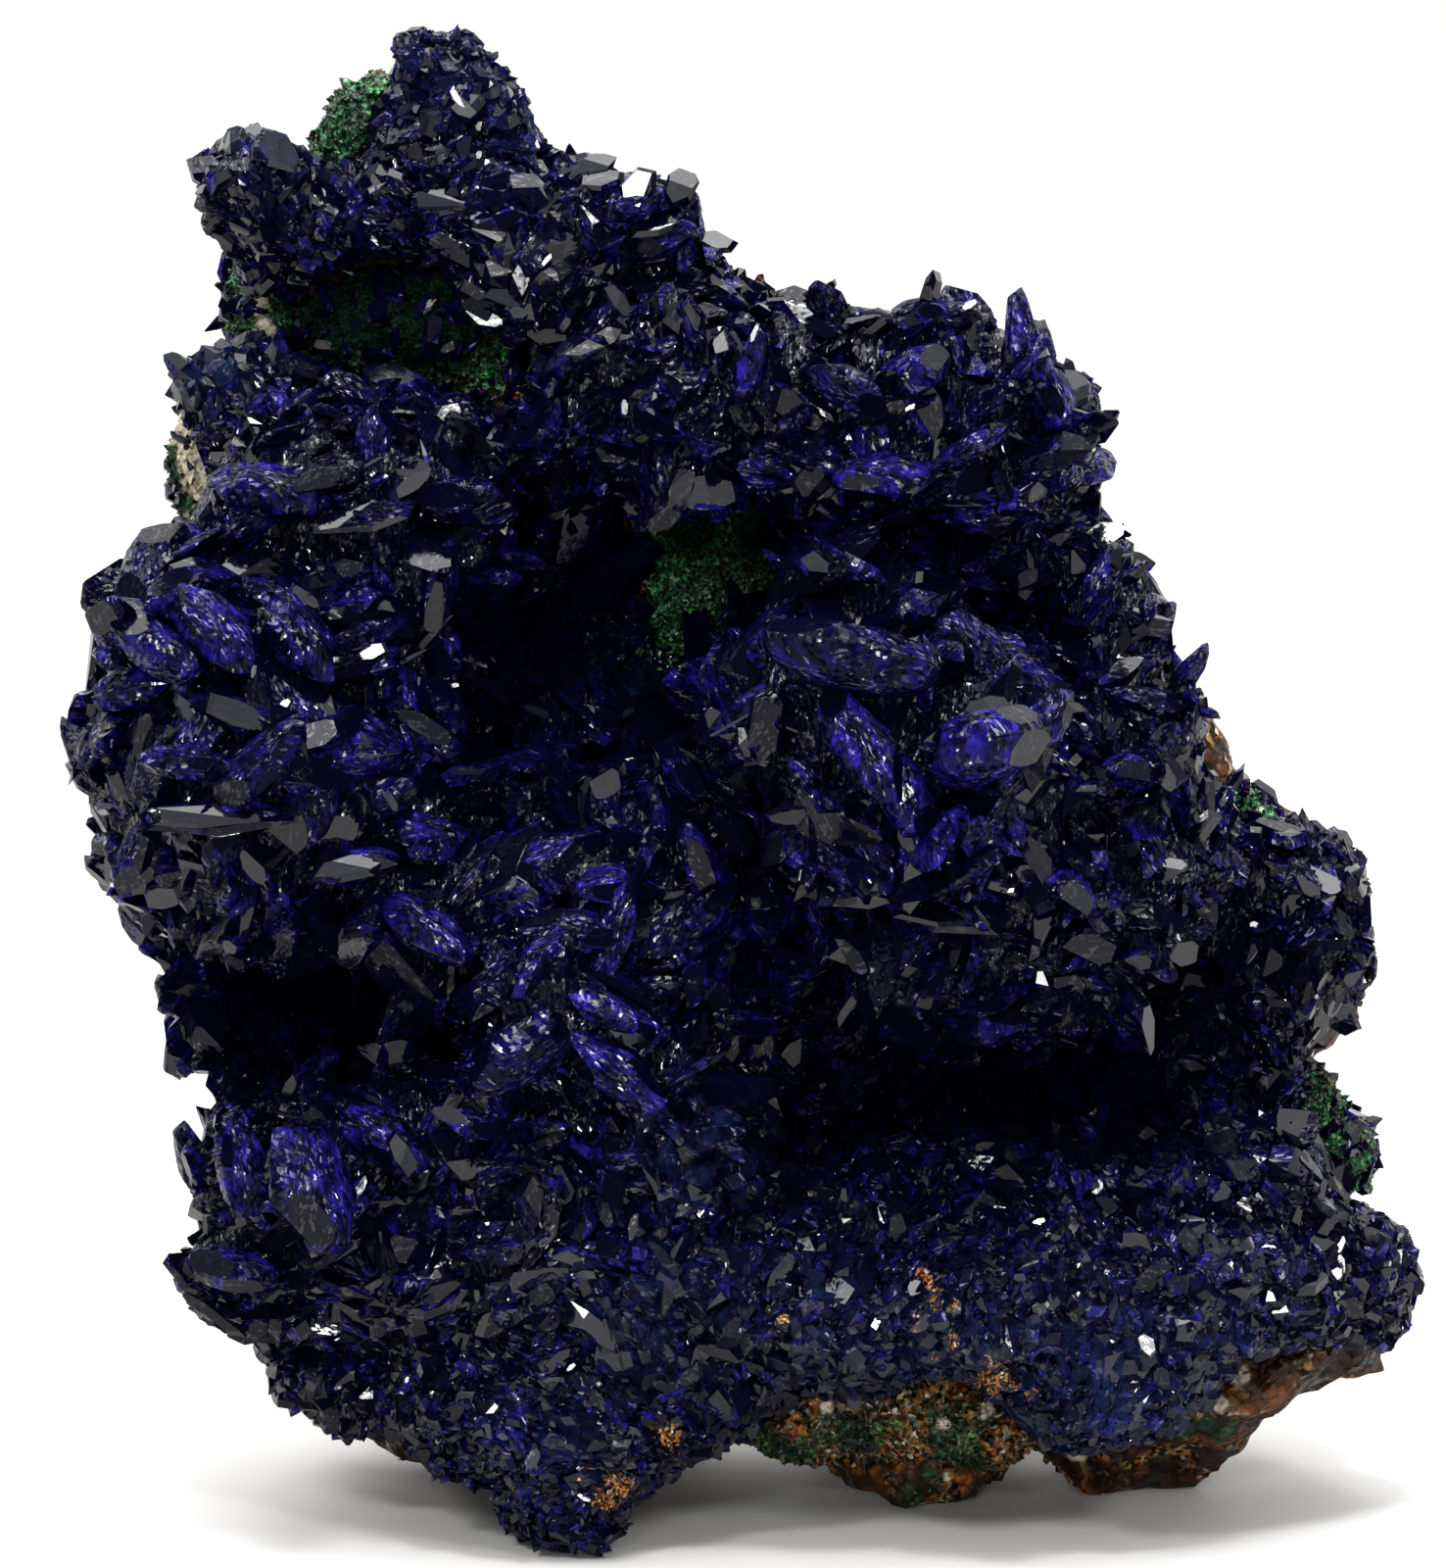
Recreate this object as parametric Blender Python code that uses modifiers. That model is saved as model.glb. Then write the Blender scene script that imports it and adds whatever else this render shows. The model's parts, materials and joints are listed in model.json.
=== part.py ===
"""Azurite specimen: blue azurite crystals grown over green malachite on a piece of iron-stained rock.

The rock is an irregular upright slab that carries everything. Crusts of malachite lie in its hollows and
along its edges, and the azurite covers its front and rim as one mass of rounded lobes with flat-faced
crystals standing out of them. The piece stands on its own uneven foot, ground flat where it touches.

Sizes are in millimetres on the picture plane, the plane square to the line of sight. That plane leans back
by VIEW_TILT, because the piece is looked at from a little above. A lobe's row gives how far it lies across,
up and deep in that plane, and its half sizes the same three ways. Across is to the right, and deep is away
from the eye.
"""

import math

import bmesh
import bpy
import numpy as np
from mathutils import Matrix, Vector

MM = 0.001

# How far the line of sight looks down, and where the picture plane's own origin stands: this puts the
# middle of the whole piece over the origin, and its lowest points a little under the ground that cuts them.
VIEW_TILT = math.radians(10)
STAND_MM = (0.22, -9.27, -1.35)

# Air left between two pieces that touch.
GAP_MM = 0.35
SEED = 29

# The skin of each mineral: the cell of its remesh, the share of its facets that is kept, and how deep and
# how coarse its crags are.
LOBE_VOXEL_MM = 1.1
AZURITE_KEEP, AZURITE_CRAG_MM, AZURITE_GRAIN_MM = 0.06, 3.0, 2.4
ROCK_KEEP, ROCK_CRAG_MM, ROCK_GRAIN_MM = 0.03, 1.8, 3.4
CRUST_VOXEL_MM = 0.8
CRUST_KEEP, CRUST_CRAG_MM, CRUST_GRAIN_MM = 0.06, 0.9, 1.6

# The blades: the shortest that is modelled, their spacing in blade lengths, how steeply they rise from the
# skin, how far their middle stands proud of it, and how squarely the skin must face the front to carry one.
SHORTEST_BLADE_MM = 3.4
BLADE_SPACING = 1.12
BLADE_RISE = (0.15, 0.85)
BLADE_PROUD_MM = 0.4
BLADE_FACES_FRONT = 0.3
# Share of a known blade's length that other blades keep away from its middle.
CLEAR_OF_KNOWN = 0.55
# Length, width and thickness of a grown blade, as shares of the lobe's longest, of its length and its width.
LENGTH_SHARE = (0.95, 1.35)
WIDTH_SHARE = (0.42, 0.64)
THICKNESS_SHARE = (0.6, 0.9)
# How far a lobe's blades stray from an even spread.
STRAY = 0.12

# Each row: across, up, deep, half width, half height, half depth, length of its longest blades.
AZURITE_LOBES = (
    # the peak, its left arm and its right shoulder
    (-16.2, 75.0, 3.0, 2.9, 3.0, 2.8, 1.8),
    (-15.2, 72.4, 3.0, 4.2, 3.6, 4.0, 2.4),
    (-14.6, 69.0, 2.5, 5.6, 3.8, 5.0, 2.8),
    (-25.0, 69.6, 0.5, 3.6, 3.2, 3.5, 2.4),
    (-21.8, 67.6, 1.5, 4.0, 2.8, 4.0, 2.6),
    (-23.8, 65.6, 3.0, 2.6, 2.2, 3.0, 2.2),
    (-6.2, 67.4, -1.0, 3.8, 2.9, 4.2, 3.6),
    (-10.4, 68.4, 1.0, 3.8, 2.8, 4.0, 2.6),
    (-9.8, 64.8, 0.0, 5.4, 3.6, 5.0, 3.0),
    (-3.6, 63.8, 1.0, 4.2, 2.7, 4.6, 2.6),
    (0.8, 61.6, 1.5, 3.9, 2.0, 4.5, 2.4),
    # the upper right lobe
    (-3.8, 59.0, -3.0, 6.3, 4.6, 6.5, 3.8),
    (3.2, 59.1, -5.0, 6.0, 4.3, 7.0, 4.4),
    (9.2, 58.7, -5.0, 5.0, 4.5, 7.0, 4.4),
    (14.4, 57.4, -2.0, 3.5, 3.7, 5.0, 4.2),
    (11.4, 55.2, -4.0, 4.8, 3.0, 6.0, 4.0),
    (5.2, 54.8, -6.0, 5.6, 2.4, 6.0, 3.6),
    (-2.3, 55.2, -4.0, 4.4, 2.4, 5.5, 3.6),
    (-8.3, 56.3, -1.0, 4.0, 3.2, 5.0, 3.4),
    # the left upper lobe
    (-26.5, 59.3, 3.0, 3.0, 2.8, 4.0, 1.8),
    (-21.8, 57.0, 1.0, 5.4, 3.4, 5.0, 3.2),
    (-25.4, 54.2, 0.0, 3.0, 3.2, 4.4, 3.8),
    (-19.8, 53.6, -3.0, 6.0, 4.0, 6.0, 5.0),
    (-15.4, 55.2, -2.0, 3.0, 3.0, 4.6, 3.4),
    (-18.6, 49.6, -2.0, 5.4, 3.4, 5.5, 4.6),
    (-24.6, 50.2, -1.0, 4.2, 2.8, 5.0, 3.4),
    # the left lobe, which carries the longest blades
    (-29.4, 47.2, -1.0, 3.4, 4.0, 5.5, 3.6),
    (-26.4, 45.8, -5.0, 5.4, 4.0, 6.5, 6.0),
    (-30.2, 40.8, -2.0, 4.1, 4.8, 6.0, 3.6),
    (-25.2, 39.5, -7.0, 6.4, 5.0, 7.5, 6.6),
    (-29.6, 35.8, -2.0, 3.5, 3.9, 5.5, 3.4),
    (-23.6, 34.6, -6.0, 6.4, 4.2, 6.8, 6.2),
    (-27.8, 31.8, -1.0, 2.4, 2.2, 4.0, 2.6),
    (-19.3, 44.0, -2.0, 4.6, 5.4, 5.5, 5.0),
    (-18.3, 37.5, -3.0, 5.4, 5.4, 6.0, 5.0),
    (-16.6, 32.8, -5.0, 5.4, 3.6, 6.0, 5.4),
    # the floor of the deep middle hollow, and the saddle below it
    (-11.3, 44.0, 6.0, 6.2, 8.2, 4.5, 3.4),
    (-9.3, 51.0, 5.0, 5.0, 4.2, 4.0, 3.4),
    (-7.3, 40.0, 3.0, 5.2, 4.2, 5.0, 3.6),
    (-10.3, 36.2, -2.0, 5.2, 4.2, 6.0, 4.4),
    (-4.3, 36.6, -3.0, 4.6, 3.6, 6.0, 4.0),
    (-6.3, 32.6, -5.0, 6.0, 3.6, 6.5, 4.4),
    # the low boss under the saddle
    (-9.8, 27.2, -8.0, 4.7, 3.7, 6.5, 6.0),
    (-6.3, 25.2, -7.0, 4.4, 4.0, 6.5, 5.0),
    (-3.3, 29.0, -4.0, 4.8, 4.4, 6.0, 4.2),
    # the great boss right of the middle
    (4.7, 46.6, -6.0, 4.6, 3.6, 6.5, 5.0),
    (4.7, 42.6, -10.0, 6.4, 4.6, 9.0, 7.2),
    (10.2, 41.5, -9.0, 5.0, 5.0, 8.5, 7.0),
    (6.7, 37.0, -9.0, 6.4, 5.0, 8.5, 5.2),
    (12.2, 35.0, -7.0, 6.4, 5.4, 8.0, 5.0),
    (9.7, 30.6, -7.0, 5.4, 4.0, 7.0, 5.0),
    (15.2, 29.2, -5.0, 4.0, 3.0, 6.0, 4.4),
    (-1.0, 41.0, -4.0, 2.6, 4.6, 4.6, 4.2),
    # the right flank
    (11.7, 51.0, 0.0, 4.8, 3.2, 5.0, 3.6),
    (15.8, 50.4, 1.0, 3.2, 3.3, 5.0, 2.8),
    (17.8, 46.2, -1.0, 3.6, 4.0, 6.0, 3.2),
    (18.7, 41.6, -3.0, 3.9, 4.6, 6.5, 3.4),
    (20.4, 37.0, -1.5, 3.9, 3.8, 6.5, 3.4),
    (18.5, 33.4, -4.0, 5.0, 4.4, 7.0, 4.4),
    # the far right lobe
    (28.2, 34.2, 3.0, 2.8, 3.4, 4.5, 2.6),
    (29.2, 30.1, 2.0, 3.0, 3.6, 4.5, 2.6),
    (25.4, 32.6, 4.0, 3.8, 4.4, 4.5, 3.2),
    (26.5, 26.4, 3.0, 2.8, 3.0, 4.4, 3.0),
    (23.7, 27.0, 6.0, 4.4, 4.4, 4.0, 3.0),
    # the left hollow and the lower left lobes
    (-28.6, 28.2, -1.0, 1.4, 2.4, 2.8, 3.6),
    (-26.6, 27.0, 4.0, 2.6, 3.6, 4.0, 2.8),
    (-20.3, 28.0, 6.5, 8.0, 4.5, 4.0, 3.0),
    (-25.9, 21.8, 0.0, 2.5, 3.2, 4.6, 3.2),
    (-25.8, 18.4, -2.0, 2.7, 3.4, 5.0, 3.8),
    (-21.8, 19.6, -5.0, 4.2, 4.6, 6.5, 5.4),
    (-26.0, 13.9, -2.0, 2.9, 3.0, 5.0, 4.4),
    (-16.8, 21.6, -4.0, 4.4, 4.0, 6.0, 4.8),
    (-21.8, 13.6, -1.0, 4.2, 3.6, 5.0, 3.0),
    (-22.6, 9.2, 1.0, 2.4, 2.0, 4.0, 2.2),
    (-19.2, 8.0, 1.0, 3.4, 2.9, 4.6, 2.2),
    # the middle foot, with its drusy surface
    (-11.3, 19.6, -5.0, 5.4, 4.6, 6.5, 4.0),
    (-4.3, 20.6, -5.0, 5.4, 4.6, 6.5, 3.4),
    (-14.3, 14.2, -4.0, 6.0, 4.6, 6.5, 3.0),
    (-7.3, 13.7, -6.0, 6.4, 5.0, 7.0, 2.8),
    (-1.3, 14.7, -5.0, 5.4, 4.4, 6.5, 2.8),
    (-14.0, 7.7, -4.0, 4.2, 3.9, 5.5, 2.4),
    (-8.8, 6.6, -6.0, 5.4, 4.4, 6.0, 2.4),
    (-9.2, 2.5, -5.5, 3.8, 2.8, 4.2, 1.8),
    (-3.3, 8.2, -4.0, 5.2, 3.3, 5.0, 2.2),
    # the right shelf
    (5.7, 16.6, -3.0, 5.4, 3.6, 6.5, 2.6),
    (4.2, 11.3, -5.0, 5.8, 3.4, 6.5, 2.4),
    (11.7, 18.4, -1.0, 6.4, 3.2, 6.0, 2.8),
    (12.7, 12.8, -6.0, 6.8, 4.4, 7.5, 2.6),
    (17.7, 18.4, -1.0, 5.4, 3.2, 6.0, 3.0),
    (17.7, 8.0, -5.0, 5.2, 2.9, 6.0, 2.2),
    (20.7, 12.9, -4.0, 6.0, 4.4, 7.0, 2.6),
    (24.7, 18.8, 0.0, 5.2, 3.4, 6.0, 3.0),
    (27.2, 14.6, -1.0, 5.0, 3.9, 6.0, 2.6),
    (30.7, 13.6, 1.0, 3.7, 4.0, 4.2, 2.2),
    (11.7, 23.4, 7.0, 10.0, 3.4, 4.0, 3.0),
    (21.7, 23.2, 5.0, 6.0, 3.2, 4.0, 3.0),
    (3.0, 25.0, 2.5, 4.0, 5.2, 4.4, 3.4),
    # the walls between the hollows
    (4.6, 52.6, 3.2, 4.4, 2.6, 3.2, 3.0),
    (11.6, 47.6, 2.2, 4.4, 2.8, 3.4, 3.0),
    (-4.4, 45.2, 4.6, 2.8, 2.8, 3.2, 2.8),
    (1.4, 34.8, 0.0, 3.0, 4.2, 4.2, 3.2),
    (1.4, 30.4, 0.6, 3.0, 3.6, 4.2, 3.2),
    (-22.4, 24.6, 3.4, 4.8, 2.2, 3.4, 3.0),
    (-14.4, 28.0, 3.6, 3.6, 3.2, 3.6, 2.8),
    (8.6, 27.4, 3.0, 6.4, 2.8, 4.0, 3.0),
)

# Each row: across, up, deep, half width, half height, half depth.
ROCK_LOBES = (
    (-15.5, 70.5, 7.5, 4.6, 5.0, 4.2),
    (-21.5, 67.0, 7.5, 4.6, 4.0, 4.0),
    (-9.0, 65.2, 7.5, 7.0, 4.2, 5.0),
    (-16.0, 61.0, 9.0, 11.0, 8.0, 6.5),
    (-2.0, 59.6, 9.0, 10.0, 4.6, 6.5),
    (8.0, 56.0, 8.0, 9.0, 6.5, 7.5),
    (-23.0, 54.0, 9.0, 6.4, 7.5, 6.5),
    (11.0, 51.0, 9.0, 5.6, 7.0, 6.5),
    (-6.0, 50.0, 13.0, 14.0, 11.0, 9.0),
    (-22.0, 42.0, 9.0, 10.0, 12.0, 8.0),
    (8.4, 42.0, 10.0, 12.4, 12.6, 9.6),
    (18.0, 37.0, 9.0, 7.0, 10.0, 8.0),
    (25.0, 31.0, 10.0, 7.0, 7.5, 6.0),
    (-8.0, 36.0, 14.0, 14.0, 12.0, 9.0),
    (-20.0, 28.0, 12.5, 9.0, 10.0, 7.0),
    (-8.0, 24.0, 12.0, 13.0, 12.0, 10.0),
    (9.0, 25.0, 14.0, 15.0, 11.0, 9.0),
    (24.4, 22.0, 10.0, 5.4, 6.6, 6.5),
    (-20.0, 16.0, 9.0, 6.6, 8.0, 7.0),
    (-8.0, 13.0, 9.0, 12.0, 9.5, 10.0),
    (9.0, 13.0, 9.0, 14.0, 7.5, 10.0),
    (22.8, 13.6, 8.5, 8.8, 5.6, 7.5),
)

# The rock's feet: the brown bump, the right foot, the two steps of the ledge under the right shelf, and three
# behind the front foot, which is azurite.
ROCK_FEET = (
    (8.6, 5.6, 6.5, 5.2, 4.4, 5.2),
    (19.4, 5.6, 9.0, 4.9, 3.7, 5.6),
    (27.8, 9.8, 4.5, 5.0, 2.5, 5.0),
    (24.0, 7.6, 4.0, 4.4, 2.6, 4.4),
    (-9.0, 7.0, 15.5, 6.0, 5.0, 4.6),
    (9.0, 7.0, 17.0, 5.5, 5.0, 4.4),
    (-17.0, 8.0, 9.5, 4.0, 4.6, 5.0),
)

# Each malachite crust: its name, and rows of across, up, deep, half width, half height, half depth.
MALACHITE_CRUSTS = {
    "malachite_upper_hollow": (
        (-16.5, 62.4, 2.6, 6.6, 3.2, 2.6),
        (-12.2, 59.6, 2.4, 4.2, 3.4, 2.6),
        (-20.6, 62.2, 3.4, 2.6, 2.4, 2.2),
    ),
    "malachite_peak_side": (
        (-20.6, 72.2, 5.4, 2.0, 2.9, 2.8),
        (-18.4, 74.0, 5.4, 1.9, 2.2, 2.4),
        (-21.6, 70.4, 5.2, 1.7, 1.9, 2.2),
    ),
    "malachite_left_notch": (
        (-25.2, 63.6, 6.0, 1.9, 2.9, 3.0),
        (-24.6, 61.4, 6.2, 1.9, 1.9, 2.6),
    ),
    "malachite_left_edge": (
        (-28.1, 56.2, 7.0, 1.9, 3.3, 3.4),
        (-27.8, 53.0, 6.6, 1.6, 2.5, 2.8),
    ),
    "malachite_centre_hollow": (
        (-0.6, 50.0, 3.8, 4.6, 3.0, 2.6),
        (-2.8, 47.4, 3.8, 2.5, 2.6, 2.2),
        (-1.8, 52.6, 3.9, 4.4, 2.2, 2.4),
    ),
    "malachite_right_notch": (
        (18.6, 48.8, 6.0, 2.0, 2.4, 2.8),
        (17.8, 50.4, 6.4, 1.7, 1.6, 2.2),
    ),
    "malachite_right_shoulder": (
        (26.2, 36.6, 7.4, 2.2, 1.6, 2.8),
        (24.0, 38.0, 7.0, 2.1, 1.7, 2.4),
    ),
    "malachite_right_edge": (
        (29.2, 21.0, 7.0, 2.2, 2.4, 3.0),
        (30.8, 19.2, 6.4, 1.8, 1.9, 2.4),
        (28.1, 23.3, 7.0, 1.6, 1.7, 2.4),
    ),
    "malachite_foot": (
        (7.2, 7.2, 1.0, 4.6, 2.8, 4.4),
        (2.8, 6.4, 2.0, 3.6, 2.2, 4.2),
        (11.8, 6.0, 1.6, 3.0, 2.2, 4.0),
    ),
    "malachite_back_upper": (
        (-12.0, 53.0, 20.0, 6.5, 5.0, 2.6),
        (-5.5, 57.0, 19.0, 4.5, 3.6, 2.6),
        (-17.0, 49.0, 18.6, 4.2, 3.6, 2.6),
    ),
    "malachite_back_lower": (
        (15.0, 28.0, 21.6, 6.0, 4.6, 2.6),
        (9.0, 31.0, 22.0, 4.6, 3.4, 2.4),
        (19.5, 24.0, 19.6, 3.6, 3.2, 2.4),
    ),
}

# The blades that the eye picks out. Each row: across, up, the way it points in the picture plane in degrees
# from across to up, how far its tip comes forward in degrees, length, width, thickness, and its roll.
KNOWN_BLADES = (
    # the tablets and wedge on the right shoulder of the peak
    (-5.6, 68.4, 20, 5, 3.0, 2.6, 1.4, 0),
    (-3.6, 68.0, 100, 10, 2.8, 2.4, 1.4, 15),
    (-4.4, 66.6, 25, 20, 3.6, 2.2, 1.6, 40),
    # the upper right lobe
    (15.0, 58.6, -60, 10, 4.2, 3.0, 2.0, 10),
    (8.2, 59.6, 30, 15, 3.8, 2.8, 2.0, 30),
    (6.4, 54.4, 2, 12, 5.0, 2.4, 2.0, 50),
    (-2.4, 53.6, -5, 15, 3.4, 2.0, 1.6, 60),
    (0.0, 59.8, 70, 25, 4.2, 1.8, 1.4, 20),
    # the left upper lobe
    (-24.2, 53.8, -15, 15, 6.2, 3.0, 2.4, 30),
    (-15.6, 49.1, 80, 15, 4.6, 2.1, 1.6, 20),
    (-19.0, 56.4, 85, 20, 4.0, 1.8, 1.5, 10),
    # the left lobe
    (-29.6, 46.0, -35, 15, 6.0, 3.2, 2.6, 20),
    (-26.8, 46.8, -45, 20, 6.2, 3.0, 2.4, 40),
    (-30.8, 43.8, 10, 10, 4.8, 2.7, 2.2, 0),
    (-25.5, 42.4, -20, 25, 4.6, 2.6, 1.3, 15),
    (-24.4, 40.0, 40, 15, 5.8, 2.8, 2.2, 60),
    (-28.0, 40.0, -10, 15, 5.2, 2.0, 1.6, 30),
    (-27.0, 37.4, 3, 5, 6.8, 1.9, 1.5, 10),
    (-20.0, 34.9, 8, 15, 4.4, 2.0, 1.5, 30),
    (-22.6, 46.4, -60, 20, 5.6, 3.4, 2.4, 10),
    (-16.4, 31.8, -35, 15, 5.8, 2.6, 2.0, 30),
    # the blade that stands free before the middle hollow, and its neighbour
    (-2.6, 46.4, 92, 0, 7.4, 1.9, 1.2, 30),
    (-0.9, 46.2, 112, 10, 5.6, 1.5, 1.1, 60),
    # the low boss
    (-11.4, 25.6, 215, 20, 6.2, 3.5, 2.8, 20),
    (-7.0, 24.8, -38, 15, 6.6, 2.5, 1.9, 40),
    (-7.6, 28.0, -30, 20, 4.6, 2.1, 1.6, 10),
    # the great boss
    (5.0, 45.2, 168, 10, 9.0, 4.2, 3.2, 20),
    (11.6, 40.8, 20, 15, 6.6, 5.0, 3.6, 0),
    (5.5, 41.0, -65, 20, 6.6, 3.0, 2.4, 30),
    (7.6, 38.4, -75, 25, 4.6, 2.8, 2.2, 0),
    (6.8, 30.6, -85, 30, 3.2, 2.2, 1.6, 0),
    (14.6, 32.0, 75, 15, 4.4, 1.7, 1.4, 20),
    (9.2, 32.6, -4, 10, 4.4, 1.8, 1.4, 30),
    # the lower left lobes
    (-21.9, 18.8, -75, 15, 6.8, 4.4, 3.4, 10),
    (-25.6, 20.0, -75, 10, 5.6, 2.8, 2.4, 30),
    (-18.4, 21.2, -40, 25, 5.6, 2.7, 2.2, 50),
    (-26.0, 14.4, -10, 15, 6.0, 4.4, 3.0, 20),
)

# Base colour, roughness and metallic value of each mineral.
AZURITE_FINISH = ((0.012, 0.014, 0.16), 0.28, 0.0)
MALACHITE_FINISH = ((0.02, 0.13, 0.06), 0.75, 0.0)
ROCK_FINISH = ((0.19, 0.08, 0.035), 0.85, 0.0)


def clear_scene():
    for obj in list(bpy.data.objects):
        bpy.data.objects.remove(obj)


def new_collection(name):
    collection = bpy.data.collections.new(name)
    bpy.context.scene.collection.children.link(collection)
    return collection


def picture_plane():
    """Turns (across, deep, up) in millimetres on the picture plane into metres in the standing frame."""
    lean = Matrix.Rotation(-VIEW_TILT, 4, "X")
    stand = Matrix.Translation(Vector(STAND_MM) * MM)
    return stand @ lean @ Matrix.Scale(MM, 4)


def finish(name, colour, roughness, metallic):
    material = bpy.data.materials.new(name)
    material.use_nodes = True
    shader = material.node_tree.nodes["Principled BSDF"]
    shader.inputs["Base Color"].default_value = (*colour, 1.0)
    shader.inputs["Roughness"].default_value = roughness
    shader.inputs["Metallic"].default_value = metallic
    return material


def new_object(name, mesh, collection, material=None):
    obj = bpy.data.objects.new(name, mesh)
    collection.objects.link(obj)
    if material:
        mesh.materials.clear()
        mesh.materials.append(material)
    return obj


def as_helper(obj):
    """Marks a guide or a cutter, which is no piece of the specimen."""
    obj.hide_render = True
    obj.display_type = "WIRE"
    return obj


def lump(name, rows, collection, voxel_mm, keep, crag_mm, grain_mm):
    """Overlapping ellipsoids made one skin by a voxel remesh, then made craggy and cut down to facets."""
    shape = bmesh.new()
    for across, up, deep, half_width, half_height, half_depth in rows:
        size = Matrix.Diagonal((half_width, half_depth, half_height, 1.0))
        place = picture_plane() @ Matrix.Translation((across, deep, up)) @ size
        bmesh.ops.create_icosphere(shape, subdivisions=3, radius=1.0, matrix=place)
    mesh = bpy.data.meshes.new(name)
    shape.to_mesh(mesh)
    shape.free()
    obj = new_object(name, mesh, collection)

    skin = obj.modifiers.new("one skin", "REMESH")
    skin.mode = "VOXEL"
    skin.voxel_size = voxel_mm * MM

    grain = bpy.data.textures.new(name + " grain", "CLOUDS")
    grain.noise_scale = grain_mm * MM
    grain.noise_depth = 2
    rough = obj.modifiers.new("rough", "DISPLACE")
    rough.texture = grain
    rough.texture_coords = "LOCAL"
    rough.strength = crag_mm * MM

    facets = obj.modifiers.new("facets", "DECIMATE")
    facets.ratio = keep
    return obj


def fixed_mesh(obj):
    """The object's mesh as its modifiers leave it."""
    graph = bpy.context.evaluated_depsgraph_get()
    return bpy.data.meshes.new_from_object(obj.evaluated_get(graph))


def room_for(obj, collection):
    """A cutter the shape of the object, grown by the gap that parts two pieces."""
    cutter = as_helper(new_object(obj.name + " room", fixed_mesh(obj), collection))
    grow = cutter.modifiers.new("gap", "DISPLACE")
    grow.strength = GAP_MM * MM
    grow.mid_level = 0.0
    return cutter


def cut_or_join(obj, operation, other):
    step = obj.modifiers.new(operation.lower(), "BOOLEAN")
    step.operation = operation
    step.object = other
    return step


def floor_cutter(collection):
    """A block below the ground plane, which grinds the feet flat."""
    side, depth = 200 * MM, 30 * MM
    shape = bmesh.new()
    block = Matrix.Translation((0.0, 0.0, -depth / 2)) @ Matrix.Diagonal((side, side, depth, 1.0))
    bmesh.ops.create_cube(shape, size=1.0, matrix=block)
    mesh = bpy.data.meshes.new("ground")
    shape.to_mesh(mesh)
    shape.free()
    return as_helper(new_object("ground", mesh, collection))


def largest_body(mesh):
    """Drops every loose body but the one with the most faces."""
    shape = bmesh.new()
    shape.from_mesh(mesh)
    unseen = set(shape.faces)
    bodies = []
    while unseen:
        body, edge = set(), [unseen.pop()]
        while edge:
            face = edge.pop()
            body.add(face)
            near = {other for side in face.edges for other in side.link_faces} & unseen
            unseen -= near
            edge.extend(near)
        bodies.append(body)
    bodies.sort(key=len)
    small = [face for body in bodies[:-1] for face in body]
    bmesh.ops.delete(shape, geom=small, context="FACES")
    shape.to_mesh(mesh)
    shape.free()
    return mesh


def unit_directions(count):
    """Evenly spread directions on a golden spiral, one row each."""
    turn = math.pi * (3 - math.sqrt(5))
    step = np.arange(count)
    height = 1 - (2 * step + 1) / count
    ring = np.sqrt(1 - height**2)
    return np.stack([ring * np.cos(turn * step), ring * np.sin(turn * step), height], axis=1)


def outside(points, rows, margin):
    """True for each point outside every ellipsoid of the rows by the margin, a share of its size."""
    free = np.ones(len(points), bool)
    for across, up, deep, half_width, half_height, half_depth in rows:
        away = (points - (across, deep, up)) / (half_width, half_depth, half_height)
        free &= (away**2).sum(axis=1) > margin**2
    return free


def front_depth(across, up, rows):
    """How deep the foremost ellipsoid of the rows lies behind that point of the picture plane."""
    depth = math.inf
    for centre_across, centre_up, centre_deep, half_width, half_height, half_depth in rows:
        off = ((across - centre_across) / half_width) ** 2 + ((up - centre_up) / half_height) ** 2
        if off < 1.0:
            depth = min(depth, centre_deep - half_depth * math.sqrt(1.0 - off))
    return depth


def known_blades():
    """Middle, direction, length, width, thickness and roll of each known blade, on its lobe's front."""
    shapes = [row[:6] for row in AZURITE_LOBES]
    for across, up, heading, nod, length, width, thickness, roll in KNOWN_BLADES:
        heading, nod = math.radians(heading), math.radians(nod)
        level = math.cos(nod)
        aim = Vector((math.cos(heading) * level, -math.sin(nod), math.sin(heading) * level))
        middle = Vector((across, front_depth(across, up, shapes), up))
        yield middle, aim, length, width, thickness, math.radians(roll)


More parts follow.
